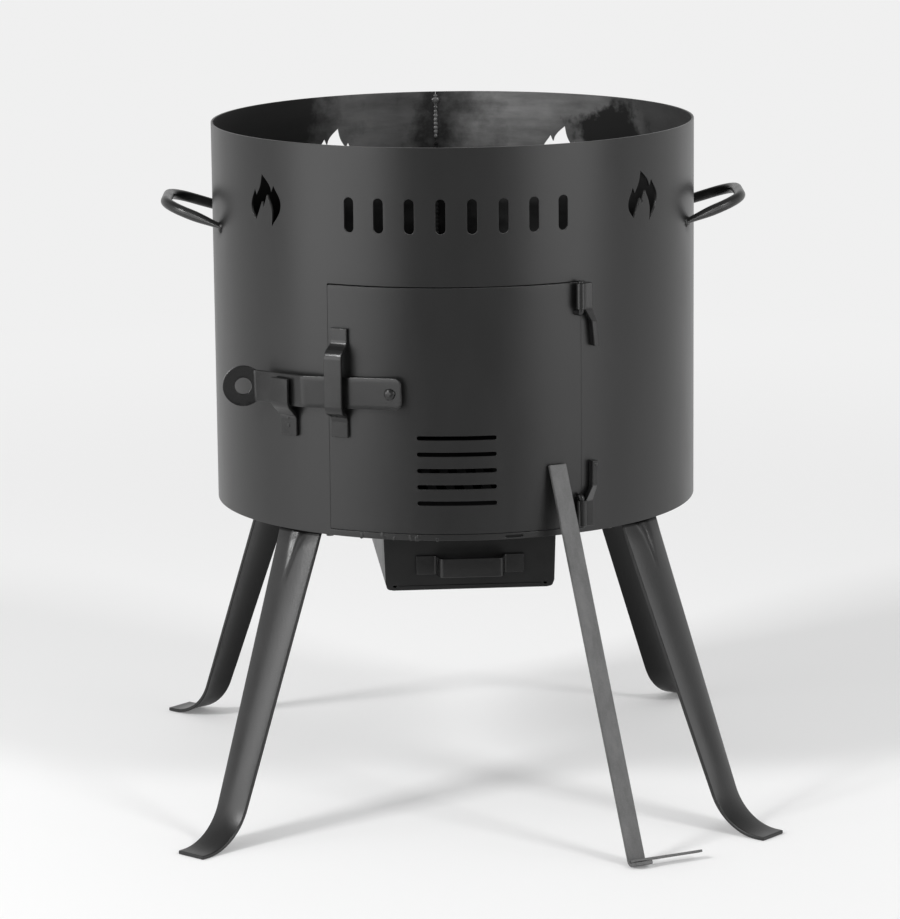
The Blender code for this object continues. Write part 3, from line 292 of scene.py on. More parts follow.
def cutSheet(outer, holes, wall, edge, grid, place):
    # a sheet cut to an outline with holes: both faces are triangulated flat over a grid of
    # points, and a quarter-round, a wall and another quarter-round close every cut
    loops = []
    for number, loop in enumerate([outer, *holes]):
        after = np.roll(loop, -1, 0)
        area = np.sum(loop[:, 0] * after[:, 1] - after[:, 0] * loop[:, 1])
        loops.append(loop if (area > 0) == (number == 0) else loop[::-1])
    inward = [loopNormals(loop) for loop in loops]
    rims = [loop + normal * edge for loop, normal in zip(loops, inward)]
    low, high = outer.min(0), outer.max(0)
    lines = [np.arange(low[k] + grid[k] / 2, high[k], grid[k]) for k in (0, 1)]
    field = np.stack(np.meshgrid(*lines), -1).reshape(-1, 2)
    field = field[insideOf(field, rims)]
    for rim in rims:
        near = np.full(len(field), np.inf)
        for part in np.array_split(rim, max(1, len(rim) // 200)):
            apart = np.linalg.norm(field[:, None] - part[None], axis=2).min(1)
            near = np.minimum(near, apart)
        field = field[near > 0.4 * min(grid)]
    flat = np.concatenate([*rims, field])
    starts = np.concatenate([[0], np.cumsum([len(rim) for rim in rims])])
    edges = np.concatenate([
        np.stack([np.arange(len(rim)), np.roll(np.arange(len(rim)), -1)], 1) + start
        for rim, start in zip(rims, starts)])
    made = delaunay_2d_cdt([Vector(point) for point in flat], edges.tolist(), [], 0, 1e-5)
    flat = np.array(made[0])
    triangles = np.array(made[2])
    triangles = triangles[insideOf(flat[triangles].mean(1), rims)]
    newIndex = np.zeros(sum(map(len, made[3])), int)
    for new, olds in enumerate(made[3]):
        newIndex[olds] = new
    turn = np.radians([45.0, 90.0])
    offsets = np.concatenate([edge * (1 - np.sin(turn)), edge * (1 - np.sin(turn[::-1]))])
    depths = np.concatenate([edge * (1 - np.cos(turn)), wall - edge * (1 - np.cos(turn[::-1]))])
    count = len(flat)
    vertices = [place(flat[:, 0], flat[:, 1], 0.0), place(flat[:, 0], flat[:, 1], wall)]
    faces = [triangles, triangles[:, ::-1] + count]
    total = 2 * count
    for loop, normal, start in zip(loops, inward, starts):
        rows = [newIndex[start:start + len(loop)]]
        for offset, depth in zip(offsets, depths):
            ring = loop + normal * offset
            vertices.append(place(ring[:, 0], ring[:, 1], depth))
            rows.append(np.arange(len(loop)) + total)
            total += len(loop)
        rows.append(newIndex[start:start + len(loop)] + count)
        rows = np.stack(rows)
        beside = np.roll(rows, -1, 1)
        faces.append(np.stack([rows[:-1], rows[1:], beside[1:], beside[:-1]], -1).reshape(-1, 4))
    return np.concatenate(vertices), faces


def addPiece(name, solids, finishName, body, slot, *nodes):
    # a mesh object in its place, smooth with normals weighted by face area, riding on its body
    vertices, faces = together(solids)
    mesh = bpy.data.meshes.new(name)
    placed = vertices * metresPerMillimetre + axisPlace
    mesh.from_pydata(placed.tolist(), [], [face for group in faces for face in group.tolist()])
    normals = np.zeros_like(vertices)
    for group in faces:
        corner = vertices[group]
        area = sum(
            np.cross(corner[:, k] - corner[:, 0], corner[:, k + 1] - corner[:, 0])
            for k in range(1, group.shape[1] - 1))
        for k in range(group.shape[1]):
            np.add.at(normals, group[:, k], area)
    normals /= np.maximum(np.linalg.norm(normals, axis=1), 1e-12)[:, None]
    mesh.polygons.foreach_set("use_smooth", np.ones(len(mesh.polygons), bool))
    mesh.normals_split_custom_set_from_vertices(normals.tolist())
    mesh.materials.append(materials[finishName])
    piece = bpy.data.objects.new(name, mesh)
    bpy.context.scene.collection.objects.link(piece)
    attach(piece, body)
    if nodes:
        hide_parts(*nodes)


def linear(hexColour):
    # an sRGB hex colour as linear RGBA
    values = [int(hexColour[k:k + 2], 16) / 255 for k in (1, 3, 5)]
    return [v / 12.92 if v <= 0.04045 else ((v + 0.055) / 1.055) ** 2.4 for v in values] + [1.0]


def addNode(material, kind, settings=None, links=None, **options):
    # one shader node: options are its own properties, settings its input values, and links its
    # wires, which start at a socket or at a node's first output
    tree = material.node_tree
    item = tree.nodes.new("ShaderNode" + kind)
    for key, value in options.items():
        setattr(item, key, value)
    for key, value in (settings or {}).items():
        item.inputs[key].default_value = value
    for key, source in (links or {}).items():
        tree.links.new(firstOutput(source), item.inputs[key])
    return item


def firstOutput(source):
    # a socket as it is, or the first output of a node
    return source if isinstance(source, bpy.types.NodeSocket) else source.outputs[0]


# two colours, the roughness from and to, the gloss, then in millimetres the grain's size and
# depth and the patches' size, and how far the patches are stretched along each axis
finishKeys = ("dark", "light", "roughLow", "roughHigh", "specular", "grain", "grainDepth", "patch",
              "stretch")
finishes = {
    # heat-proof black paint sprayed on cold-rolled sheet: satin, with a fine dry grain
    "paintedSheet": ("#101010", "#181818", 0.32, 0.40, 0.5, 0.9, 0.02, 70.0, (1, 1, 0.35)),
    # the same paint on hot-rolled strap: rolling lines run along the bar
    "paintedStrap": ("#111111", "#1a1a1a", 0.20, 0.27, 0.46, 0.7, 0.03, 14.0, (0.25, 1, 1)),
    # black paint on pressed legs, laid on thicker: a little glossier, with a pebbled skin
    "paintedLeg": ("#101010", "#1a1a1a", 0.28, 0.38, 0.5, 1.4, 0.08, 26.0, (1, 1, 0.4)),
    # bent round bar under the same paint, rubbed by hands
    "paintedBar": ("#121212", "#1e1e1e", 0.28, 0.38, 0.5, 0.8, 0.03, 10.0, (1, 1, 1)),
    # bare hot-rolled strip: grey mill scale with lengthwise flecks
    "bareStrip": ("#343434", "#545454", 0.36, 0.5, 0.5, 1.1, 0.06, 9.0, (1, 1, 0.12)),
    # weld metal under paint: lumpy and glossier on its crests
    "weldBead": ("#2c2c2c", "#6c6c6c", 0.25, 0.4, 0.6, 1.6, 0.15, 5.0, (1, 1, 1)),
    # grey cast iron, sand-cast and unpainted: dull, coarse and pitted; its near-black colour is
    # soot and painted shade inside the drum
    "castIron": ("#101010", "#1b1b1b", 0.65, 0.85, 0.15, 1.6, 0.5, 16.0, (1, 1, 1)),
    # painted sheet that the fire has burnt: dull black, dusty
    "sootySheet": ("#0d0d0d", "#191919", 0.6, 0.8, 0.12, 1.2, 0.15, 40.0, (1, 1, 1)),
    # drawer sheet: darker copies of the paint with little gloss, as painted shade under the drum
    "shadedDrawerSheet": ("#0b0b0b", "#131313", 0.4, 0.5, 0.32, 1.0, 0.03, 30.0, (1, 1, 1)),
    "shadedDrawerTray": ("#0b0b0b", "#141414", 0.7, 0.85, 0.01, 1.2, 0.1, 30.0, (1, 1, 1)),
    # dull zinc plate on bolts and nuts, greyed by heat
    "zincPlate": ("#5d5d5b", "#83827e", 0.35, 0.5, 0.5, 0.6, 0.03, 4.0, (1, 1, 1)),
}


def finish(name, row):
    # broad patches tint the colour and gloss, fine grain raises the skin
    recipe = dict(zip(finishKeys, row))
    material = bpy.data.materials.new(name)
    add = functools.partial(addNode, material)
    material.use_nodes = True
    shader = material.node_tree.nodes["Principled BSDF"]
    shader.inputs["Specular IOR Level"].default_value = recipe["specular"]
    place = add("TexCoord").outputs["Object"]
    centred = add("Mapping", {
        "Location": [-axisPlace[0] * recipe["stretch"][0], -axisPlace[1] * recipe["stretch"][1], 0],
        "Scale": recipe["stretch"]}, {"Vector": place})
    patches = add("TexNoise", {
        "Scale": 1000 / recipe["patch"], "Detail": 4.0, "Roughness": 0.6}, {"Vector": centred})
    grain = add("TexNoise", {
        "Scale": 1000 / recipe["grain"], "Detail": 2.0, "Roughness": 0.5}, {"Vector": place})
    blend = add("Math", {1: 0.3}, {0: grain, 2: patches}, operation="MULTIPLY_ADD")
    colour = add("ValToRGB", {}, {"Fac": blend})
    ramp = colour.color_ramp
    ramp.elements[0].position, ramp.elements[1].position = 0.45, 0.85
    ramp.elements[0].color, ramp.elements[1].color = linear(recipe["dark"]), linear(recipe["light"])
    rough = add("MapRange", {
        "From Min": 0.45, "From Max": 0.85, "To Min": recipe["roughLow"],
        "To Max": recipe["roughHigh"]}, {"Value": blend})
    bump = add("Bump", {
        "Strength": 1.0, "Distance": recipe["grainDepth"] * metresPerMillimetre},
        {"Height": grain})
    for key, source in (("Base Color", colour), ("Roughness", rough), ("Normal", bump)):
        material.node_tree.links.new(firstOutput(source), shader.inputs[key])
    return material


def replaceInput(material, name, kind, share, value):
    # puts a mix in front of a shader input: its old source where share is 0, the new value at 1
    shader = material.node_tree.nodes["Principled BSDF"]
    first, second = (6, 7) if kind == "RGBA" else (2, 3)
    links, settings = {0: share}, {}
    if shader.inputs[name].is_linked:
        links[first] = shader.inputs[name].links[0].from_socket
    else:
        settings[first] = shader.inputs[name].default_value
    if isinstance(value, (bpy.types.NodeSocket, bpy.types.Node)):
        links[second] = value
    else:
        settings[second] = value
    mix = addNode(material, "Mix", settings, links, data_type=kind)
    source = mix.outputs[2] if kind == "RGBA" else mix.outputs[0]
    material.node_tree.links.new(source, shader.inputs[name])


# bearings are in radians from the rear seam, positive to the right; radii, patches, levels and
# the scorch's reach and fray are in millimetres; the rest are shares
sootAndPaintedLight = {
    "outerSkin": 199.1, "innerSkin": 198.4,     # soot where the sheet lies nearer the axis
    "smokePatch": 23.81, "streakPatch": 111.1, "streakStretch": 5.0, "wander": 0.5,
    "tonesFrom": -0.85, "tonesTo": 1.85,
    # painted light and shade: the tones by bearing are dark on the left inner wall and lit grey on
    # the right
    "tones": ((0.0, "#0a0a0a"), (0.19, "#0f0f0f"), (0.27, "#555555"), (0.36, "#474747"),
              (0.405, "#191919"), (0.45, "#434343"), (0.52, "#6f6f6f"), (0.68, "#525252"),
              (0.8, "#2e2e2e"), (1.0, "#2a2a2a")),
    "mottleLow": 0.7, "mottleHigh": 1.6,
    # painted shade: the grey darkens before the front
    "frontShadeEnds": (1.9, 2.8), "frontShadeLeft": 0.11,   # the grey fades before the front
    "blackBelow": (460.0, 530.0), "blackLeft": 0.12,
    "blotBearings": (0.66, 1.07), "blotLevels": (503.0, 552.0), "blotFray": 2.2,
    "blotColour": "#1e1e1e", "roughness": 0.5, "gloss": 0.3, "blotGloss": 0.14,
    "scorchColour": "#0c0c0c", "scorchReach": (17.0, 10.5), "scorchFray": 12.0,
    "scorchShare": 0.75, "scorchGloss": 0.1,
}


def inMetres(pair):
    # two sizes in millimetres as metres
    return [size * metresPerMillimetre for size in pair]


def sootAndPaintedLightInside(material):
    # the fire's side of the drum: soot streaks over painted light and shade, dark on the left, lit
    # grey on the right and darkened before the front, darker and duller towards the bottom, and one
    # soot blot
    add = functools.partial(addNode, material)
    place = add("TexCoord").outputs["Object"]
    fromAxis = add("VectorMath", {1: tuple(axisPlace)}, {0: place}, operation="SUBTRACT")
    split = add("SeparateXYZ", {}, {0: fromAxis})
    level = split.outputs["Z"]
    flat = add("VectorMath", {1: (1.0, 1.0, 0.0)}, {0: fromAxis}, operation="MULTIPLY")
    radius = add("VectorMath", {}, {0: flat}, operation="LENGTH").outputs["Value"]
    skins = inMetres((sootAndPaintedLight["outerSkin"], sootAndPaintedLight["innerSkin"]))
    inside = add("MapRange", {"From Min": skins[0], "From Max": skins[1]}, {"Value": radius})
    fromRear = add("Math", {}, {0: split.outputs["X"], 1: split.outputs["Y"]}, operation="ARCTAN2")
    smoke = add("TexNoise", {
        "Scale": 1000 / sootAndPaintedLight["smokePatch"], "Detail": 6.0, "Roughness": 0.62}, {"Vector": place})
    lengthwise = add("Mapping", {"Scale": (1.0, 1.0, sootAndPaintedLight["streakStretch"])}, {"Vector": place})
    streaks = add("TexNoise", {
        "Scale": 1000 / sootAndPaintedLight["streakPatch"], "Detail": 5.0, "Roughness": 0.6},
        {"Vector": lengthwise})
    wander = add("Math", {1: sootAndPaintedLight["wander"]}, {0: smoke, 2: fromRear}, operation="MULTIPLY_ADD")
    turn = add("MapRange", {
        "From Min": sootAndPaintedLight["tonesFrom"], "From Max": sootAndPaintedLight["tonesTo"]}, {"Value": wander})
    tone = add("ValToRGB", {}, {"Fac": turn})
    stops = sootAndPaintedLight["tones"]
    ramp = tone.color_ramp
    ramp.elements[0].color = linear(stops[0][1])
    ramp.elements[1].color = linear(stops[-1][1])
    for position, colour in stops[1:-1]:
        ramp.elements.new(position).color = linear(colour)
    mottle = add("MapRange", {
        "From Min": 0.35, "From Max": 0.7, "To Min": sootAndPaintedLight["mottleLow"],
        "To Max": sootAndPaintedLight["mottleHigh"]}, {"Value": streaks})
    black = inMetres(sootAndPaintedLight["blackBelow"])
    lower = add("MapRange", {
        "From Min": black[0], "From Max": black[1], "To Min": sootAndPaintedLight["blackLeft"]}, {"Value": level})
    ending = add("MapRange", {
        "From Min": sootAndPaintedLight["frontShadeEnds"][0], "From Max": sootAndPaintedLight["frontShadeEnds"][1], "To Min": 1.0,
        "To Max": sootAndPaintedLight["frontShadeLeft"]}, {"Value": fromRear})
    shade = mottle
    for dimmer in (ending, lower):
        shade = add("Math", {}, {0: shade, 1: dimmer}, operation="MULTIPLY")
    # painted light and shade by bearing, streaked with soot
    shadedSoot = add("VectorMath", {}, {0: tone, "Scale": shade}, operation="SCALE")
    # the blot: an oval by bearing and height whose edge the smoke noise frays
    sides = []
    for source, span in ((fromRear, sootAndPaintedLight["blotBearings"]), (level, inMetres(sootAndPaintedLight["blotLevels"]))):
        sides.append(add("MapRange", {
            "From Min": span[0], "From Max": span[1], "To Min": -1.0, "To Max": 1.0},
            {"Value": source}, clamp=False))
    oval = add("CombineXYZ", {}, {"X": sides[0], "Y": sides[1]})
    away = add("VectorMath", {}, {0: oval}, operation="LENGTH").outputs["Value"]
    frayed = add("Math", {1: -sootAndPaintedLight["blotFray"]}, {0: smoke, 2: away}, operation="MULTIPLY_ADD")
    blot = add("MapRange", {"From Min": 0.02, "From Max": -0.38}, {"Value": frayed})
    insideColour = add("Mix", {7: linear(sootAndPaintedLight["blotColour"])}, {0: blot, 6: shadedSoot},
                    data_type="RGBA").outputs[2]
    sooted = add("MapRange", {
        "To Min": sootAndPaintedLight["gloss"], "To Max": sootAndPaintedLight["blotGloss"]}, {"Value": blot})
    dim = add("Math", {}, {0: sooted, 1: lower}, operation="MULTIPLY")
    replaceInput(material, "Base Color", "RGBA", inside, insideColour)
    replaceInput(material, "Roughness", "FLOAT", inside, sootAndPaintedLight["roughness"])
    replaceInput(material, "Specular IOR Level", "FLOAT", inside, dim)
    # scorch marks about the handle welds
    near = None
    for root in handleRoots:
        spot = onFace(arcAt(root), handle["level"]) * metresPerMillimetre + axisPlace
        away = add("VectorMath", {1: tuple(spot)}, {0: place},
                   operation="DISTANCE").outputs["Value"]
        near = away if near is None else add("Math", {}, {0: near, 1: away}, operation="MINIMUM")
    ragged = add("Math", {1: sootAndPaintedLight["scorchFray"] * metresPerMillimetre},
                 {0: smoke, 2: near}, operation="MULTIPLY_ADD")
    reach = inMetres(sootAndPaintedLight["scorchReach"])
    scorch = add("MapRange", {
        "From Min": reach[0], "From Max": reach[1], "To Max": sootAndPaintedLight["scorchShare"]},
        {"Value": ragged}, interpolation_type="SMOOTHSTEP")
    replaceInput(material, "Base Color", "RGBA", scorch, linear(sootAndPaintedLight["scorchColour"]))
    replaceInput(material, "Specular IOR Level", "FLOAT", scorch, sootAndPaintedLight["scorchGloss"])
    return material


def paintLegShade(material):
    # painted shade: the side of a leg turned inwards and its neck under the skirt are darker and
    # duller
    add = functools.partial(addNode, material)
    place = add("TexCoord").outputs
    fromAxis = add("VectorMath", {1: tuple(axisPlace)}, {0: place["Object"]}, operation="SUBTRACT")
    level = add("SeparateXYZ", {}, {0: fromAxis}).outputs["Z"]
    flat = add("VectorMath", {1: (1.0, 1.0, 0.0)}, {0: fromAxis}, operation="MULTIPLY")
    out = add("VectorMath", {}, {0: flat}, operation="NORMALIZE")
    facing = add("VectorMath", {}, {0: place["Normal"], 1: out},
                 operation="DOT_PRODUCT").outputs["Value"]
    inner = add("MapRange", {"From Min": 0.0, "From Max": leg["shadeFacing"]}, {"Value": facing})
    neck = add("MapRange", {
        "From Min": leg["neckLow"] * metresPerMillimetre,
        "From Max": leg["neckHigh"] * metresPerMillimetre}, {"Value": level})
    share = add("Math", {}, {0: inner, 1: neck}, operation="MAXIMUM")
    replaceInput(material, "Specular IOR Level", "FLOAT", share, leg["shadeGloss"])
    replaceInput(material, "Base Color", "RGBA", share, linear(leg["shadeColour"]))
    return material


materials = {name: finish(name, recipe) for name, recipe in finishes.items()}
print("cauldron stove: finishes ready")


# Drum

# outline of a flame as shares of its width and height; True rounds the line there
flameShares = (
    (-0.10, 1.00, False), (0.17, 0.77, True), (0.21, 0.67, False), (0.28, 0.80, False),
    (0.50, 0.43, True), (0.21, 0.00, False), (0.22, 0.30, True), (0.06, 0.61, False),
    (-0.05, 0.36, False), (-0.11, 0.47, False), (-0.33, 0.09, False), (-0.50, 0.32, True),
    (-0.36, 0.69, False), (-0.30, 0.58, False), (-0.17, 0.76, True),
)


roundHandle = 2.5614            # a rounded point's handles are this many times shorter than a side


def flameLoop(steps=7):
    # cubic curves between the outline's points: a rounded point's handles follow the mean
    # direction of its two sides, and a corner's handles aim at the next point
    size = drum["flameWidth"], drum["flameHeight"]
    knots = np.array([share[:2] for share in flameShares]) * size
    smooth = np.array([share[2] for share in flameShares])[:, None]
    back, ahead = np.roll(knots, 1, 0) - knots, np.roll(knots, -1, 0) - knots
    backLength = np.linalg.norm(back, axis=1)[:, None]
    aheadLength = np.linalg.norm(ahead, axis=1)[:, None]
    along = ahead / aheadLength - back / backLength
    span = np.linalg.norm(along, axis=1)[:, None] * roundHandle
    leaving = knots + np.where(smooth, along * aheadLength / span, ahead / 3)
    arriving = knots + np.where(smooth, -along * backLength / span, back / 3)
    t = np.linspace(0, 1, steps, endpoint=False)[None, :, None]
    start, end = knots[:, None], np.roll(knots, -1, 0)[:, None]
    first, second = leaving[:, None], np.roll(arriving, -1, 0)[:, None]
    curve = ((1 - t) ** 3 * start + 3 * (1 - t) ** 2 * t * first
             + 3 * (1 - t) * t ** 2 * second + t ** 3 * end)
    return withoutRepeats(curve.reshape(-1, 2))


def arcAt(degrees):
    # the arc length round the drum's face at a bearing
    return math.radians(degrees) * drum["radius"]


handle = {
    "radius": 4.4, "halfSpan": 57.0, "gripHalfSpan": 38.5, "reach": 237.5, "root": 188.5,
    "level": 477.0, "rise": 17.5, "bend": 30.0,
    "flatLength": 30.0, "flatUp": 2.2, "flatAcross": 5.6,   # the front ends are hammered flat
    "rearFlatUp": 4.0, "rearFlatAcross": 4.8,
}
handleRootBearing = math.degrees(math.asin(handle["halfSpan"] / drum["radius"]))
handleRoots = [drum["shellBearing"] + side * 90 + end * handleRootBearing
               for side in (-1, 1) for end in (-1, 1)]


def dentedFace(across, height, depth=0.0):
    # the drum's face with a shallow dent about each handle weld
    pull = 0.0
    for root in handleRoots:
        away = (np.asarray(across) - arcAt(root)) ** 2 + (np.asarray(height) - handle["level"]) ** 2
        pull = pull + drum["dentDepth"] * np.exp(-away / (2 * drum["dentSpread"] ** 2))
    return onFace(across, height, depth + pull)


def doorLoop(side=0.0, top=0.0, bottom=0.0, shift=0.0):
    # the door's outline on the unrolled sheet, grown at its sides, top and bottom
    low, high = door["low"] - bottom, door["high"] + top
    centre = (arcAt(door["bearing"]) + shift, (low + high) / 2)
    return finely(roundedLoop(
        2 * (door["halfWidth"] + side), high - low, door["cornerRadius"] + side, centre, 3), 3.0)


def drumHoles():
    # every opening on the unrolled sheet: the door's, four flames, a row of slots at an
    # even pitch and the short slot under the sill
    flame = flameLoop()
    holes = [doorLoop(door["gapSide"], door["gapTop"], door["gapBottom"], door["gapShift"])]
    for bearing in drum["flameBearings"]:
        holes.append(finely(flame + [arcAt(bearing), drum["flameLow"]], 2.5))
    for number in range(drum["slotCount"]):
        across = drum["slotShift"] + drum["slotPitch"] * (number - (drum["slotCount"] - 1) / 2)
        centre = (arcAt(drum["shellBearing"]) + across, drum["slotLevel"])
        holes.append(finely(
            roundedLoop(drum["slotWidth"], drum["slotHeight"], drum["slotWidth"] / 2, centre), 2.5))
    sill = (arcAt(drum["sillSlotBearing"]), drum["sillSlotLevel"])
    holes.append(finely(roundedLoop(
        drum["sillSlotWidth"], drum["sillSlotHeight"], drum["sillSlotHeight"] / 2, sill), 2.5))
    return holes


def makeDrum():
    # a rectangle as long as the drum's girth less the seam, cut out, then rolled round the axis
    materials["drumSheet"] = sootAndPaintedLightInside(finish("drumSheet", finishes["paintedSheet"]))
    seam = arcAt(drum["seamBearing"])
    around = 2 * math.pi * drum["radius"]
    left, right = seam - around + drum["seamGap"] / 2, seam - drum["seamGap"] / 2
    rectangle = np.array([
        (left, drum["low"]), (right, drum["low"]), (right, drum["top"]), (left, drum["top"])])
    sheet = cutSheet(
        finely(rectangle, 3.0), drumHoles(), drum["wall"], drum["edge"],
        (drum["gridAcross"], drum["gridUp"]), dentedFace)
    addPiece("drum_skin", [sheet], "drumSheet", "stove_body", "black_sheet", "drum_shell")


def makeDoor():
    # the door's outline with a column of slits at an even pitch, rolled like the drum
    slits = []
    for number in range(door["slitCount"]):
        level = door["slitLevel"] + door["slitPitch"] * (number - (door["slitCount"] - 1) / 2)
        centre = (arcAt(door["bearing"]) + door["slitShift"], level)
        slits.append(finely(roundedLoop(
            door["slitWidth"], door["slitHeight"], door["slitHeight"] / 2, centre), 2.5))
    sheet = cutSheet(
        doorLoop(), slits, drum["wall"], drum["edge"],
        (drum["gridAcross"], drum["gridUp"]), onFace)
    addPiece("door_skin", [sheet], "paintedSheet", "door", "black_sheet", "door_panel")


makeDrum()
makeDoor()
print("cauldron stove: drum and door made")


# Straps on the drum and the door

def onDrumStrap(degrees):
    # the place of a strap that follows the drum: across it, up it, and out from the axis
    def place(across, height, radius):
        return onFace(arcAt(degrees) + across, height, drum["radius"] - radius)
    return place


strapSize = {"thickness": 3.0, "edge": 0.6, "bend": 7.2, "seat": 201.8}
guide = {
    "bearing": -31.75, "width": 14.5, "out": 212.5,
    "low": 325.0, "lowerBend": 343.0, "windowLow": 346.0, "windowHigh": 393.6,
    "upperBend": 399.7, "high": 413.2,
}
keeper = {
    "bearing": -46.0, "width": 17.0, "out": 212.5,
    "low": 322.0, "stepLow": 337.6, "stepHigh": 348.3, "high": 370.0,
}


def makeGuideAndKeeper():
    # each is a flat bar carried along straight runs and bends in a plane out of the drum
    path = roundedPath([
        (guide["low"], strapSize["seat"]), (guide["lowerBend"], strapSize["seat"]),
        (guide["windowLow"], guide["out"]), (guide["windowHigh"], guide["out"]),
        (guide["upperBend"], strapSize["seat"]), (guide["high"], strapSize["seat"])],
        strapSize["bend"])
    bridge = strap(path, guide["width"], strapSize["thickness"], strapSize["edge"],
                   onDrumStrap(guide["bearing"]))
    addPiece("latch_guide_strap", [bridge], "paintedStrap", "door", "black_strap", "latch_guide")
    path = roundedPath([
        (keeper["low"], strapSize["seat"]), (keeper["stepLow"], strapSize["seat"]),
        (keeper["stepHigh"], keeper["out"]), (keeper["high"], keeper["out"])], strapSize["bend"])
    hook = strap(path, keeper["width"], strapSize["thickness"], strapSize["edge"],
                 onDrumStrap(keeper["bearing"]))
    addPiece("latch_keeper_strap", [hook], "paintedStrap", "stove_body",
             "black_strap", "latch_keeper")


latch = {
    "bearing": -26.0, "radius": 203.3, "level": 363.0, "side": 24.24, "droop": 1.6,
    "half": 12.75, "thickness": 3.0, "edge": 0.6, "tail": 9.8, "corner": 5.5,
    "near": 74.98, "far": 129.58, "nearTurn": -22.0, "farTurn": 26.0, "bend": 3.0,
    "ringRadius": 16.6, "ringHole": 6.7, "ringOffset": 10.0,
    # the hammered head: its size, the wall under its dome, its wavering edge and its dent
    "rivetRadius": 4.6, "rivetRise": 2.4, "rivetLift": 0.05, "rivetWall": 0.5,
    "rivetWaver": (0.04, 0.03), "rivetDent": 0.35, "rivetDentReach": 1.6,
}


def latchPath():
    # the bar's middle line in its pivot's frame, as (across, out) from the tail to the ring
    end = latch["far"] + latch["ringOffset"] + latch["ringRadius"] + 1.0
    first, second = math.radians(latch["nearTurn"]), math.radians(latch["farTurn"])
    corner = np.array([-latch["near"], 0.0])
    length = latch["far"] - latch["near"]
    fold = corner + length * np.array([-math.cos(first), math.sin(first)])
    tip = fold + (end - latch["far"]) * np.array([-math.cos(second), math.sin(second)])
    return roundedPath([(latch["tail"] + 1.0, 0.0), corner, fold, tip], latch["bend"], 0.4)


def makeLatchBar():
    # a flat outline of corner arcs and a ring, laid along the folded path, then the rivet's head
    path = latchPath()
    reach = runAlong(path)
    along = tangentsOf(path)
    pivot = frameAt(latch["bearing"], latch["radius"], latch["level"])

    def place(x, y, depth):
        # the flat bar laid along the folded line, then drooped about the pivot
        run = latch["tail"] + 1.0 - np.asarray(x)
        lift = latch["thickness"] / 2 - depth
        across = np.interp(run, reach, path[:, 0]) - lift * np.interp(run, reach, -along[:, 1])
        out = np.interp(run, reach, path[:, 1]) - lift * np.interp(run, reach, along[:, 0])
        droop = math.radians(latch["droop"])
        return pivot(latch["side"] + across * math.cos(droop) - y * math.sin(droop),
                     across * math.sin(droop) + y * math.cos(droop), out)

    ringCentre = (-(latch["far"] + latch["ringOffset"]), 0.0)
    meet = math.degrees(math.asin(latch["half"] / latch["ringRadius"]))
    inner = latch["half"] - latch["corner"]
    outline = np.concatenate([
        arcPoints(latch["ringRadius"], meet, 360 - meet, 60, ringCentre),
        arcPoints(latch["corner"], -90, 0, 8, (latch["tail"] - latch["corner"], -inner)),
        arcPoints(latch["corner"], 0, 90, 8, (latch["tail"] - latch["corner"], inner))])
    hole = arcPoints(latch["ringHole"], 0, 360, 36, ringCentre)[:-1]
    bar = cutSheet(
        finely(outline, 1.5), [hole], latch["thickness"], latch["edge"], (2.0, 3.0), place)
    addPiece("latch_bar_strap", [bar], "paintedStrap", "latch", "black_strap", "latch_bar")
    # the rivet's head is a dome whose edge wavers a little
    angle = np.radians(np.linspace(0, 78, 8))
    base = latch["thickness"] / 2 + latch["rivetLift"]
    rise = base + latch["rivetWall"] + latch["rivetRise"] * np.sin(angle)
    dome = np.stack([latch["rivetRadius"] * np.cos(angle), rise], 1)
    profile = np.concatenate([[(latch["rivetRadius"], base)], dome])
    turn = np.linspace(0, 2 * np.pi, 28, endpoint=False)
    first, second = latch["rivetWaver"]
    waver = 1 + first * np.sin(3 * turn + 0.6) + second * np.sin(5 * turn)
    radius = profile[:, :1] * waver
    dent = latch["rivetDent"] * np.exp(-(radius / latch["rivetDentReach"]) ** 2)
    head = loft(pivot(
        latch["side"] + radius * np.cos(turn), radius * np.sin(turn), profile[:, 1:] - dent))
    addPiece("latch_rivet_head", [head], "paintedStrap", "door", "black_strap")


makeGuideAndKeeper()
makeLatchBar()
print("cauldron stove: latch made")


# Hinges

hinge = {
    "bearing": 24.55, "radius": 206.0, "sleeve": 4.0, "bore": 2.5, "height": 21.0,
    "upperMiddle": 437.0, "lowerMiddle": 261.1, "step": 10.0, "flat": 21.0, "bend": 14.0,
    "lean": {"upper": 2.4, "lower": 0.4},       # how far a flat's free end swings off to the side
    "tabCentre": 6.05, "tabWidth": 6.5, "flatCentre": 12.3, "flatWidth": 5.0,
    "strip": 6.0, "tabOut": 205.2, "flatOut": 203.2,
    "pin": 2.2, "pinOver": 1.5, "pinDrop": 3.4, "pinSide": 1.2, "pinIn": 7.0, "pinBend": 2.7,
}


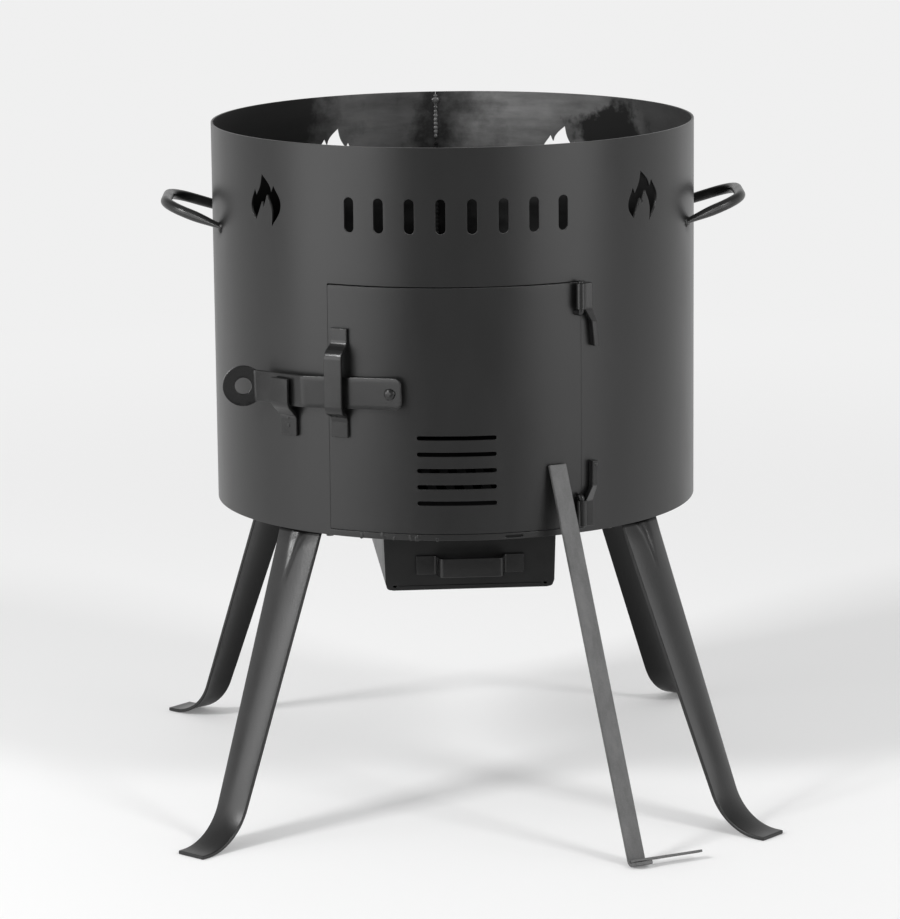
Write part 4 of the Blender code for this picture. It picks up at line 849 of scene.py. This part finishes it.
def makeHinge(name, middle, way):
    # a rolled sleeve with the strap that carries it, stepped back to the drum
    half = hinge["height"] / 2
    axis = frameAt(hinge["bearing"], hinge["radius"], 0.0)
    outer, inner, edge = hinge["sleeve"], hinge["bore"], 0.5
    ring = roundedLoop(outer - inner, 2 * half, edge, ((outer + inner) / 2, middle), 3)

    def upright(x, y, z):
        return axis(x, z, y)

    sleeve = turned(finely(ring, 5.0), 32, upright)
    rows = [
        (middle - way * half, hinge["tabOut"]), (middle + way * half, hinge["tabOut"]),
        (middle + way * (half + hinge["step"]), hinge["flatOut"]),
        (middle + way * (half + hinge["step"] + hinge["flat"]), hinge["flatOut"])]
    path = roundedPath(rows, hinge["bend"])
    levels = [row[0] for row in rows]
    widths = [hinge["tabWidth"], hinge["tabWidth"], hinge["flatWidth"], hinge["flatWidth"]]
    shifts = [hinge["tabCentre"], hinge["tabCentre"], hinge["flatCentre"],
              hinge["flatCentre"] + hinge["lean"][name]]
    order = np.argsort(levels)
    width = np.interp(path[:, 0], np.array(levels)[order], np.array(widths)[order])
    shift = np.interp(path[:, 0], np.array(levels)[order], np.array(shifts)[order])
    plate = strap(path, width, hinge["strip"], strapSize["edge"],
                  onDrumStrap(hinge["bearing"]), shift)
    addPiece("hinge_strap_" + name, [sleeve, plate], "paintedStrap",
             "stove_body", "black_strap", "hinge_bracket_" + name)
    free = middle - way * (half + hinge["pinOver"])
    bend = middle + way * (half + hinge["pinDrop"])
    corners = axis(np.array([0, 0, -hinge["pinSide"]]), np.array([free, bend, bend]),
                   np.array([0, 0, -hinge["pinIn"]]))
    line = roundedPath(corners, hinge["pinBend"], 0.4)
    aside = corners[2] - corners[1] + [0.0, 0.0, 0.01]
    pin = tube(line, hinge["pin"], hinge["pin"], aside, 0.4, 18)
    addPiece("hinge_pin_bar_" + name, [pin], "paintedBar", "door",
             "black_strap", "hinge_pin_" + name)


makeHinge("upper", hinge["upperMiddle"], -1)
makeHinge("lower", hinge["lowerMiddle"], 1)


# Handles

def makeHandle(name, side):
    # a round bar in one leaning plane, its two ends hammered flat where they are welded
    place = frameAt(drum["shellBearing"] + side * 90, 0.0, handle["level"])
    x = np.array([-handle["halfSpan"], -handle["gripHalfSpan"], handle["gripHalfSpan"],
                  handle["halfSpan"]])
    corners = place(x, np.array([0.0, handle["rise"], handle["rise"], 0.0]),
                    np.array([handle["root"], handle["reach"], handle["reach"], handle["root"]]))
    path = roundedPath(corners, handle["bend"], 1.5)
    parts = [path[:1]]
    for start, end in zip(path, path[1:]):
        count = max(1, math.ceil(np.linalg.norm(end - start) / 4.0))
        parts.append(start + (end - start) * np.linspace(0, 1, count + 1)[1:, None])
    path = np.concatenate(parts)
    reach = runAlong(path)
    across = up = handle["radius"] + 0 * reach
    front = reach if side > 0 else reach[-1] - reach
    for toEnd, flatUp, flatAcross in (
            (front, handle["flatUp"], handle["flatAcross"]),
            (reach[-1] - front, handle["rearFlatUp"], handle["rearFlatAcross"])):
        share = np.clip(1 - toEnd / handle["flatLength"], 0, 1)
        share = share * share * (3 - 2 * share)
        across = across + (flatAcross - handle["radius"]) * share
        up = up + (flatUp - handle["radius"]) * share
    plane = np.cross(corners[1] - corners[0], corners[2] - corners[1])
    bar = tube(path, across, up, plane, 0.8, 24)
    addPiece(name + "_bar", [bar], "paintedBar", "stove_body", "black_bar", name)


makeHandle("handle_left", -1)
makeHandle("handle_right", 1)
print("cauldron stove: hinges and handles made")


# Legs

leg = {
    "bearings": {"leg_front_left": -45, "leg_front_right": 45, "leg_rear_right": 135,
                 "leg_rear_left": -135},
    "plate": 3.0, "edge": 0.7, "splay": 22.3, "bendStart": 190.5, "bend": 5.0,
    "level": 244.7, "flange": 32.0, "foot": 47.0, "footFlat": 6.0,
    "topWidth": 44.0, "footWidth": 27.0,
    "crown": 3.6, "edgeLift": -0.5, "crownRun": 18.0, "footRun": 80.0,
    "dart": 3.0, "dartShare": 0.45, "dartStart": 6.0, "dartRun": 42.0,
    # painted shade on the neck under the skirt and on the side turned inwards
    "neckLow": 240.6, "neckHigh": 241.2,
    "shadeColour": "#0d0d0d", "shadeGloss": 0.2, "shadeFacing": -0.3,   # the side turned inwards
}


def legPath():
    # (out, up) points: the flange, the bend over the skirt, the straight shank and the foot
    splay = math.radians(leg["splay"])
    top = np.array([leg["bendStart"], leg["level"]])
    flange = top - np.stack([np.linspace(leg["flange"], 0, 7)[:-1], np.zeros(6)], 1)
    lean = np.linspace(np.pi / 2, splay, 9)
    bend = top + leg["bend"] * np.stack([np.cos(lean), np.sin(lean) - 1], 1)
    footLevel = leg["plate"] / 2
    shankEnd = footLevel + leg["foot"] * (1 - math.sin(splay))
    fall = (bend[-1, 1] - shankEnd) * np.linspace(0, 1, 40)[1:]
    shank = bend[-1] + np.stack([fall * math.tan(splay), -fall], 1)
    lean = np.linspace(splay, np.pi / 2, 22)[1:]
    foot = shank[-1] + leg["foot"] * np.stack(
        [math.cos(splay) - np.cos(lean), math.sin(splay) - np.sin(lean)], 1)
    tip = foot[-1] + np.stack([np.linspace(0, leg["footFlat"], 3)[1:], np.zeros(2)], 1)
    return np.concatenate([flange, bend, shank, foot, tip])


def legBow(stations, share):
    # a crown along the shank that fades into the foot, and a dart pressed in under the bend
    run = stations - leg["flange"]
    length = stations[-1, 0] - leg["flange"]
    start = np.clip(run / leg["crownRun"], 0, 1)
    end = np.clip((length - leg["footFlat"] - run) / leg["footRun"], 0, 1)
    crown = (leg["edgeLift"] + leg["crown"] * (1 - share ** 2)) * start * end
    rise = np.clip(run / leg["dartStart"], 0, 1)
    fade = np.clip(1 - run / leg["dartRun"], 0, 1)
    dart = np.maximum(0, 1 - np.abs(share) / (leg["dartShare"] * np.maximum(fade, 0.05)))
    return crown - leg["dart"] * dart * rise * np.sqrt(fade)


def makeLegs():
    # one path turned to each bearing; its width falls evenly from the bend to the tip
    materials["legPaint"] = paintLegShade(finish("legPaint", finishes["paintedLeg"]))
    path = legPath()
    reach = runAlong(path)
    taper = np.clip((reach - leg["flange"]) / (reach[-1] - leg["flange"]), 0, 1)
    width = leg["topWidth"] + (leg["footWidth"] - leg["topWidth"]) * taper
    for name, bearing in leg["bearings"].items():
        stand = frameAt(bearing)

        def place(across, out, up):
            return stand(across, up, out)

        plate = strap(path, width, leg["plate"], leg["edge"], place, flatSteps=20, bow=legBow)
        addPiece(name + "_plate", [plate], "legPaint", "stove_body", "black_leg", name)


makeLegs()
print("cauldron stove: legs made")


# Ash drawer

drawer = {
    "middle": -1.5, "front": -148.0, "sheet": 1.5, "faceWidth": 137.0, "faceLow": 192.8,
    "faceHeight": 45.3, "faceCorner": 6.5, "faceTaper": 0.022, "width": 121.0, "depth": 208.0,
    "trayLow": 195.2, "trayCorner": 2.5,
    "foldLevel": 3.4, "foldHalf": 61.0, "foldWidth": 0.6, "foldHeight": 0.45, "notch": 1.5,
    # the tray's skin from the middle of its underside to its floor, as (level, inset)
    "traySection": (
        (0.0, 4.0), (0.0, 1.8), (0.7, 0.6), (2.4, 0.0), (20.0, 0.0), (41.5, 0.0), (42.0, 0.4),
        (42.0, 1.1), (41.5, 1.5), (20.0, 1.5), (3.2, 1.5), (2.0, 1.8), (1.5, 2.6), (1.5, 5.0)),
}
pull = {
    "flat": 150.8, "raised": 164.8, "half": 43.8, "window": 27.3, "grip": 24.5,
    "thickness": 2.0, "height": 15.5, "low": 206.0, "bend": 3.0, "edge": 0.45,
}


def makeDrawer():
    # a front cut flat, a tray lofted through rounded rectangles, and a strap bent as its pull
    half, radius = drawer["faceWidth"] / 2, drawer["faceCorner"]
    outline = np.concatenate([
        [(half, drawer["faceHeight"]), (-half, drawer["faceHeight"])],
        arcPoints(radius, 180, 270, 8, (-half + radius, radius)),
        arcPoints(radius, 270, 360, 8, (half - radius, radius))])
    notches = [roundedLoop(2 * drawer["notch"], drawer["notch"], drawer["notch"] / 2,
                           (side * drawer["foldHalf"], drawer["foldLevel"]), 4) for side in (-1, 1)]

    def onFront(x, y, depth):
        across = x * (1 + drawer["faceTaper"] * y / drawer["faceHeight"])
        return asPoints(drawer["middle"] + across, drawer["front"] - drawer["sheet"] + depth,
                        drawer["faceLow"] + y)

    face = cutSheet(finely(outline, 2.0), notches, drawer["sheet"], 0.4, (4.0, 4.0), onFront)
    along = np.linspace(-drawer["foldHalf"] + 3, drawer["foldHalf"] - 3, 12)
    fold = tube(
        asPoints(drawer["middle"] + along, drawer["front"] - drawer["sheet"] - 0.1,
                 drawer["faceLow"] + drawer["foldLevel"]),
        drawer["foldWidth"], drawer["foldHeight"], (0.0, 0.0, 1.0), 0.3, 10)
    rings = []
    for level, inset in drawer["traySection"]:
        loop = roundedLoop(
            drawer["width"] - 2 * inset, drawer["depth"] - 2 * inset,
            max(drawer["trayCorner"] - inset, 0.6) + 0.2,
            (drawer["middle"], drawer["front"] + drawer["depth"] / 2), 4)
        rings.append(np.concatenate([loop, np.full((len(loop), 1), drawer["trayLow"] + level)], 1))
    tray = loft(np.stack(rings))
    # painted shade: the front and the tray take darker, duller copies of the paint
    addPiece("ash_drawer_front", [face, fold], "shadedDrawerSheet", "drawer", "black_sheet", "ash_drawer")
    addPiece("ash_drawer_tray", [tray], "shadedDrawerTray", "drawer", "black_sheet")
    path = roundedPath([
        (-pull["half"], pull["flat"]), (-pull["window"], pull["flat"]),
        (-pull["grip"], pull["raised"]), (pull["grip"], pull["raised"]),
        (pull["window"], pull["flat"]), (pull["half"], pull["flat"])], pull["bend"], 0.5)

    def upright(across, along, out):
        return asPoints(drawer["middle"] + along, -out, pull["low"] + pull["height"] / 2 + across)

    handleStrap = strap(path, pull["height"], pull["thickness"], pull["edge"], upright)
    addPiece("drawer_pull_strap", [handleStrap], "paintedStrap", "drawer",
             "black_strap", "drawer_handle")


makeDrawer()


# Ash scraper

scraper = {
    "bearing": 20.9, "width": 15.0, "thickness": 3.0, "edge": 0.5, "bend": 4.5,
    "top": (-7.1, 302.0, 201.91), "corner": (2.4, 0.18, 318.41), "hook": 13.2,
    "bladeLength": 60.0, "bladeDepth": 8.2, "bladeThickness": 2.0, "bladeSeat": 0.3,
}


def makeScraper():
    # the strip leans in the plane out of the drum and shifts sideways as it falls
    place = frameAt(scraper["bearing"])
    top, corner = np.array(scraper["top"]), np.array(scraper["corner"])
    lean = math.atan2(corner[2] - top[2], top[1] - corner[1])
    hook = corner[1:] + scraper["hook"] * np.array([math.sin(lean), math.cos(lean)])
    path = roundedPath([top[1:], corner[1:], hook], scraper["bend"], 0.5)
    shift = np.interp(path[:, 0], [corner[1], top[1]], [corner[0], top[0]])
    strip = strap(path, scraper["width"], scraper["thickness"], scraper["edge"], place, shift)
    addPiece("scraper_strip", [strip], "bareStrip", "scraper", "scraper_steel", "ash_scraper")
    start = hook - scraper["bladeDepth"] * np.array([math.sin(lean), math.cos(lean)])
    lift = scraper["thickness"] / 2 + scraper["bladeSeat"] + scraper["bladeThickness"] / 2
    middle = start + lift * np.array([math.cos(lean), -math.sin(lean)])
    line = middle + np.linspace(0, scraper["bladeDepth"], 4)[:, None] * np.array(
        [math.sin(lean), math.cos(lean)])
    blade = strap(line, scraper["bladeLength"], scraper["bladeThickness"], 0.35, place,
                  corner[0] + (scraper["bladeLength"] - scraper["width"]) / 2)
    addPiece("scraper_blade_plate", [blade], "bareStrip", "scraper",
             "scraper_steel", "scraper_blade")


makeScraper()
print("cauldron stove: drawer and scraper made")


# CAD nodes that stay get a finish of their own
nodeFinishes = {
    "floor_plate": "sootySheet", "grate": "castIron", "latch_rivet": "paintedStrap",
    "latch_spacer": "paintedStrap", "ash_rail_left": "paintedSheet",
    "ash_rail_right": "paintedSheet", "ash_rail_stop": "paintedSheet",
}
for nodeName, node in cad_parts.items():
    finishName = nodeFinishes.get(nodeName)
    if nodeName.startswith(("leg_bolt", "leg_nut")):
        finishName = "zincPlate"
    if finishName:
        for materialSlot in node.material_slots:
            materialSlot.material = materials[finishName]


# Weld beads and tacks

bead = {
    "pitch": 3.6, "roughness": 0.22, "steps": 10,
    "seamWidth": 1.9, "seamHeight": 1.1, "outerShare": 0.6,
    "seamSoot": 515.0,          # the fire blackens the inner bead up to here
    "blobLevel": 551.0, "blobReach": 3.2, "blobHeight": 1.6, "blobWaver": 0.2,
    # lumps about a handle's weld: how many, their spread in degrees and in height, and their sizes
    "lumps": 5, "lumpTurn": 1.5, "lumpSpread": 2.2, "lumpReach": (1.6, 2.8),
    "lumpHeight": (1.2, 2.2), "lumpSunk": 0.3, "lumpWaver": 0.25,
    # each tack: bearing, level, radius of the face, reach, height and waver
    "tacks": ((-45.9, 337.0, 203.2, 1.9, 0.9, 0.2), (-45.9, 330.4, 203.2, 1.6, 0.8, 0.2),
              (28.3, 299.6, 205.9, 1.7, 1.0, 0.25)),
    "drips": 8, "dripBearings": (-31, -9), "dripReach": (1.3, 2.8), "dripLow": (0.1, 0.7),
    "dripHeight": (0.25, 0.5), "dripSunk": 0.1, "dripWaver": 0.3,
}
chance = np.random.default_rng(7)


def weldRun(path, width, height, up):
    # a bead whose radii swell and pinch along the run, with a little chance in every ripple
    pitch = bead["pitch"]
    reach = runAlong(path)
    count = max(8, int(reach[-1] / pitch * 6))
    stations = np.linspace(0, reach[-1], count)
    fine = np.stack([np.interp(stations, reach, path[:, k]) for k in range(3)], 1)
    ripple = 0.6 + 0.4 * np.abs(np.sin(math.pi * stations / pitch))
    knots = chance.uniform(1 - bead["roughness"], 1 + bead["roughness"], max(4, count // 5))
    ripple = ripple * np.interp(np.linspace(0, 1, count), np.linspace(0, 1, len(knots)), knots)
    ends = np.clip(np.minimum(stations, reach[-1] - stations) / width, 0, 1)
    ripple = ripple * np.sqrt(1 - (1 - ends) ** 2 * 0.8)
    return tube(fine, width * ripple, height * ripple, up, 0.3, bead["steps"])


def onDrum(bearing, level, radius=0.0):
    # one point over the drum's face
    return frameAt(bearing, drum["radius"] + radius, level)(0.0, 0.0, 0.0)


def dome(bearing, level, radius, reach, height, waver=0.0):
    # a low lump that sits on a face at this radius of the drum
    angle = np.radians(np.linspace(-25, 80, 7))
    place = frameAt(bearing, radius, level)
    turn = np.linspace(0, 2 * np.pi, 14, endpoint=False)
    wide = reach * np.cos(angle)[:, None] * (1 + waver * np.sin(2 * turn + bearing) * 0.5
                                             + waver * np.cos(3 * turn + level) * 0.5)
    return loft(place(wide * np.cos(turn), wide * np.sin(turn), (height * np.sin(angle))[:, None]))


def makeWelds():
    # beads run up the seam; the lumps at the handles, the tacks and the drips are domes
    seam = drum["seamBearing"]
    levels = np.linspace(drum["low"] + 1.0, drum["top"] - 2.5, 90)
    inner = np.array([onDrum(seam, level, -drum["wall"]) for level in levels])
    outer = np.array([onDrum(seam, level) for level in levels])
    radial = onDrum(seam, 0.0) / drum["radius"]
    bare = levels > bead["seamSoot"]
    sooted = weldRun(inner[~bare], bead["seamWidth"], bead["seamHeight"], radial)
    addPiece("seam_weld_sooted", [sooted], "sootySheet", "stove_body", "black_sheet")
    beads = [
        weldRun(inner[bare], bead["seamWidth"], bead["seamHeight"], radial),
        weldRun(outer, bead["seamWidth"], bead["seamHeight"] * bead["outerShare"], radial),
        dome(seam + 180, bead["blobLevel"], -(drum["radius"] - drum["wall"] - 0.2),
             bead["blobReach"], bead["blobHeight"], bead["blobWaver"])]
    addPiece("seam_welds", beads, "weldBead", "stove_body", "black_sheet")
    lumps = []
    base = drum["radius"] - drum["dentDepth"] - bead["lumpSunk"]
    for root in handleRoots:
        for _ in range(bead["lumps"]):
            turn = chance.uniform(-bead["lumpTurn"], bead["lumpTurn"])
            rise = chance.uniform(-bead["lumpSpread"], bead["lumpSpread"])
            lumps.append(dome(
                root + turn, handle["level"] + rise, base, chance.uniform(*bead["lumpReach"]),
                chance.uniform(*bead["lumpHeight"]), bead["lumpWaver"]))
    addPiece("handle_welds", lumps, "paintedBar", "stove_body", "black_bar")
    spots = [dome(*tack) for tack in bead["tacks"]]
    addPiece("tack_welds", spots, "paintedBar", "stove_body", "black_sheet")
    drips = []
    for reach in chance.uniform(*bead["dripReach"], bead["drips"]):
        bearing = chance.uniform(*bead["dripBearings"])
        level = drum["low"] + reach - chance.uniform(*bead["dripLow"])
        drips.append(dome(bearing, level, drum["radius"] - bead["dripSunk"], reach,
                          chance.uniform(*bead["dripHeight"]), bead["dripWaver"]))
    addPiece("sill_drips", drips, "paintedSheet", "stove_body", "black_sheet")


makeWelds()
print("cauldron stove: welds made")


# Camera, floor and light: the studio's sizes are in metres

camera = {
    "eye": (-282.5, -3436.4, 965.0), "aimAzimuth": -4.62, "aimElevation": 11.4, "roll": -0.6,
    "focalPixels": 4175.0, "imageWidth": 900.0, "sensor": 36.0,
}


def makeCamera():
    # the eye's place, with an aim by azimuth and elevation and a small roll
    data = bpy.data.cameras.new("photo_camera")
    data.sensor_fit = "HORIZONTAL"
    data.sensor_width = camera["sensor"]
    data.lens = camera["focalPixels"] * camera["sensor"] / camera["imageWidth"]
    data.clip_end = 100.0
    item = bpy.data.objects.new("photo_camera", data)
    bpy.context.scene.collection.objects.link(item)
    azimuth, elevation = math.radians(camera["aimAzimuth"]), math.radians(camera["aimElevation"])
    back = Vector((math.sin(azimuth) * math.cos(elevation),
                   -math.cos(azimuth) * math.cos(elevation), math.sin(elevation)))
    right = Vector((math.cos(azimuth), math.sin(azimuth), 0.0))
    turn = Matrix((right, back.cross(right), back)).transposed().to_4x4()
    eye = Vector(camera["eye"]) * metresPerMillimetre + Vector(axisPlace)
    item.matrix_world = (
        Matrix.Translation(eye) @ turn @ Matrix.Rotation(math.radians(camera["roll"]), 4, "Z"))
    bpy.context.scene.camera = item


studio = {
    "paperColour": "#f6f6f6", "paperFront": -3.1, "paperSide": 14.0, "paperBack": 16.0,
    "paperDrop": 0.0002, "paperRoughness": 0.9, "paperGloss": 0.1,
    "backdrop": 0.87,           # the white that the camera sees behind, and the far paper fades to
    "glowNear": 0.95, "glowShare": 0.14, "paperNearColour": "#ebebeb",
    "paperNearStart": 0.0, "paperNearEnd": -0.42,
    "fadeStart": 0.6, "fadeEnd": 2.4,
    "clothStart": -0.7, "clothEnd": -1.0,       # dark cloth before the camera, for the gloss alone
    "clothDark": 0.05, "clothFar": 0.75, "clothNearEdge": -1.3, "clothFarEdge": -2.1,
    "fill": 1.05, "cameraSide": 0.52, "cameraSideFrom": -0.85, "cameraSideTo": -0.3,
    "ceiling": 0.4, "ceilingFrom": 0.2, "ceilingTo": 0.75,
    "aimLevel": 0.25,           # the height of the point that the lamps face
    "lamps": {      # azimuth from the front, elevation, distance, width, height and power
        "left_softbox": (-56.0, 36.0, 5.0, 0.95, 0.95, 118.0),
        "right_softbox": (43.0, 38.0, 5.0, 0.95, 0.95, 64.0),
        "left_panel": (-58.0, 8.0, 1.9, 1.65, 1.0, 12.3),
        "right_panel": (46.5, 8.0, 1.9, 1.25, 1.0, 8.5),
    },
}


def makePaper():
    # white paper that ends short of the camera; far off it fades into the plain backdrop
    side, front, back = studio["paperSide"], studio["paperFront"], studio["paperBack"]
    data = bpy.data.meshes.new("floor")
    corners = [(-side, front, 0), (side, front, 0), (side, back, 0), (-side, back, 0)]
    data.from_pydata(corners, [], [(0, 1, 2, 3)])
    floor = bpy.data.objects.new("floor", data)
    floor.location.z = -studio["paperDrop"]
    bpy.context.scene.collection.objects.link(floor)
    paper = bpy.data.materials.new("studio_paper")
    paper.use_nodes = True
    add = functools.partial(addNode, paper)
    shader = paper.node_tree.nodes["Principled BSDF"]
    shader.inputs["Roughness"].default_value = studio["paperRoughness"]
    shader.inputs["Specular IOR Level"].default_value = studio["paperGloss"]
    place = add("TexCoord").outputs["Object"]
    along = add("SeparateXYZ", {}, {0: place}).outputs["Y"]
    nearer = add("MapRange", {
        "From Min": studio["paperNearStart"], "From Max": studio["paperNearEnd"]}, {"Value": along})
    tone = add("Mix", {
        6: linear(studio["paperColour"]), 7: linear(studio["paperNearColour"])}, {
        0: nearer}, data_type="RGBA").outputs[2]
    paper.node_tree.links.new(tone, shader.inputs["Base Color"])
    away = add("VectorMath", {}, {0: place}, operation="LENGTH").outputs["Value"]
    fade = add("MapRange", {
        "From Min": studio["fadeStart"], "From Max": studio["fadeEnd"],
        "To Min": studio["glowShare"]}, {"Value": away}, interpolation_type="SMOOTHSTEP")
    seen = add("Math", {}, {0: fade, 1: seenRay(paper)}, operation="MULTIPLY")
    level = add("MapRange", {
        "From Min": studio["fadeStart"], "From Max": studio["fadeEnd"],
        "To Min": studio["glowNear"], "To Max": studio["backdrop"]}, {"Value": away})
    glow = add("Emission", {}, {"Strength": level})
    both = add("MixShader", {}, {0: seen, 1: shader, 2: glow})
    cloth = add("MapRange", {
        "From Min": studio["clothStart"], "From Max": studio["clothEnd"]}, {"Value": along})
    hidden = add("Math", {0: 1.0}, {
        1: add("LightPath").outputs["Is Camera Ray"]}, operation="SUBTRACT")
    laid = add("Math", {}, {0: cloth, 1: hidden}, operation="MULTIPLY")
    clothLevel = add("MapRange", {
        "From Min": studio["clothNearEdge"], "From Max": studio["clothFarEdge"],
        "To Min": studio["clothDark"], "To Max": studio["clothFar"]}, {"Value": along})
    clothGlow = add("Emission", {}, {"Strength": clothLevel})
    whole = add("MixShader", {}, {0: laid, 1: both, 2: clothGlow})
    end = paper.node_tree.nodes["Material Output"]
    paper.node_tree.links.new(whole.outputs[0], end.inputs["Surface"])
    data.materials.append(paper)


def seenRay(owner):
    # 1 for rays that show the background: straight from the camera, in a gloss or through glass
    add = functools.partial(addNode, owner)
    path = add("LightPath")
    either = add("Math", {}, {
        0: path.outputs["Is Camera Ray"], 1: path.outputs["Is Glossy Ray"]}, operation="MAXIMUM")
    return add("Math", {}, {0: either, 1: path.outputs["Is Transmission Ray"]}, operation="MAXIMUM")


def makeLamps():
    # each lamp stands off one point by azimuth, elevation and distance, and faces it
    for name, (azimuth, elevation, distance, width, height, power) in studio["lamps"].items():
        light = bpy.data.lights.new(name, "AREA")
        light.shape = "RECTANGLE"
        light.size, light.size_y = width, height
        light.energy = power
        lamp = bpy.data.objects.new(name, light)
        bpy.context.scene.collection.objects.link(lamp)
        a, e = math.radians(azimuth), math.radians(elevation)
        towards = Vector((math.sin(a) * math.cos(e), -math.cos(a) * math.cos(e), math.sin(e)))
        aim = Vector((0.0, axisPlace[1], studio["aimLevel"]))
        lamp.location = aim + towards * distance
        lamp.rotation_euler = towards.to_track_quat("Z", "Y").to_euler()
        lamp.visible_camera = False


def makeWorld():
    # a white studio whose camera side and ceiling are dimmer; the camera itself sees plain white
    world = bpy.data.worlds.new("studio_white")
    bpy.context.scene.world = world
    world.use_nodes = True
    add = functools.partial(addNode, world)
    background = world.node_tree.nodes["Background"]
    background.inputs["Color"].default_value = (1.0, 1.0, 1.0, 1.0)
    direction = add("TexCoord").outputs["Generated"]
    split = add("SeparateXYZ", {}, {0: direction})
    behind = add("MapRange", {
        "From Min": studio["cameraSideFrom"], "From Max": studio["cameraSideTo"],
        "To Min": studio["cameraSide"]},
        {"Value": split.outputs["Y"]}, interpolation_type="SMOOTHSTEP")
    low = add("MapRange", {
        "From Min": studio["ceilingFrom"], "From Max": studio["ceilingTo"], "To Min": 1.0,
        "To Max": studio["ceiling"]},
        {"Value": split.outputs["Z"]}, interpolation_type="SMOOTHSTEP")
    room = add("Math", {}, {0: behind, 1: low}, operation="MULTIPLY")
    path = add("LightPath")
    level = add("MapRange", {
        "To Min": studio["fill"], "To Max": studio["backdrop"]}, {"Value": seenRay(world)})
    lit = add("Math", {}, {0: room, 1: level}, operation="MULTIPLY")
    strength = add("Mix", {3: studio["backdrop"]}, {
        0: path.outputs["Is Camera Ray"], 2: lit}, data_type="FLOAT")
    world.node_tree.links.new(strength.outputs[0], background.inputs["Strength"])


makeCamera()
makePaper()
makeLamps()
makeWorld()
bpy.context.scene.view_settings.view_transform = "Standard"
print("cauldron stove: camera and studio ready")
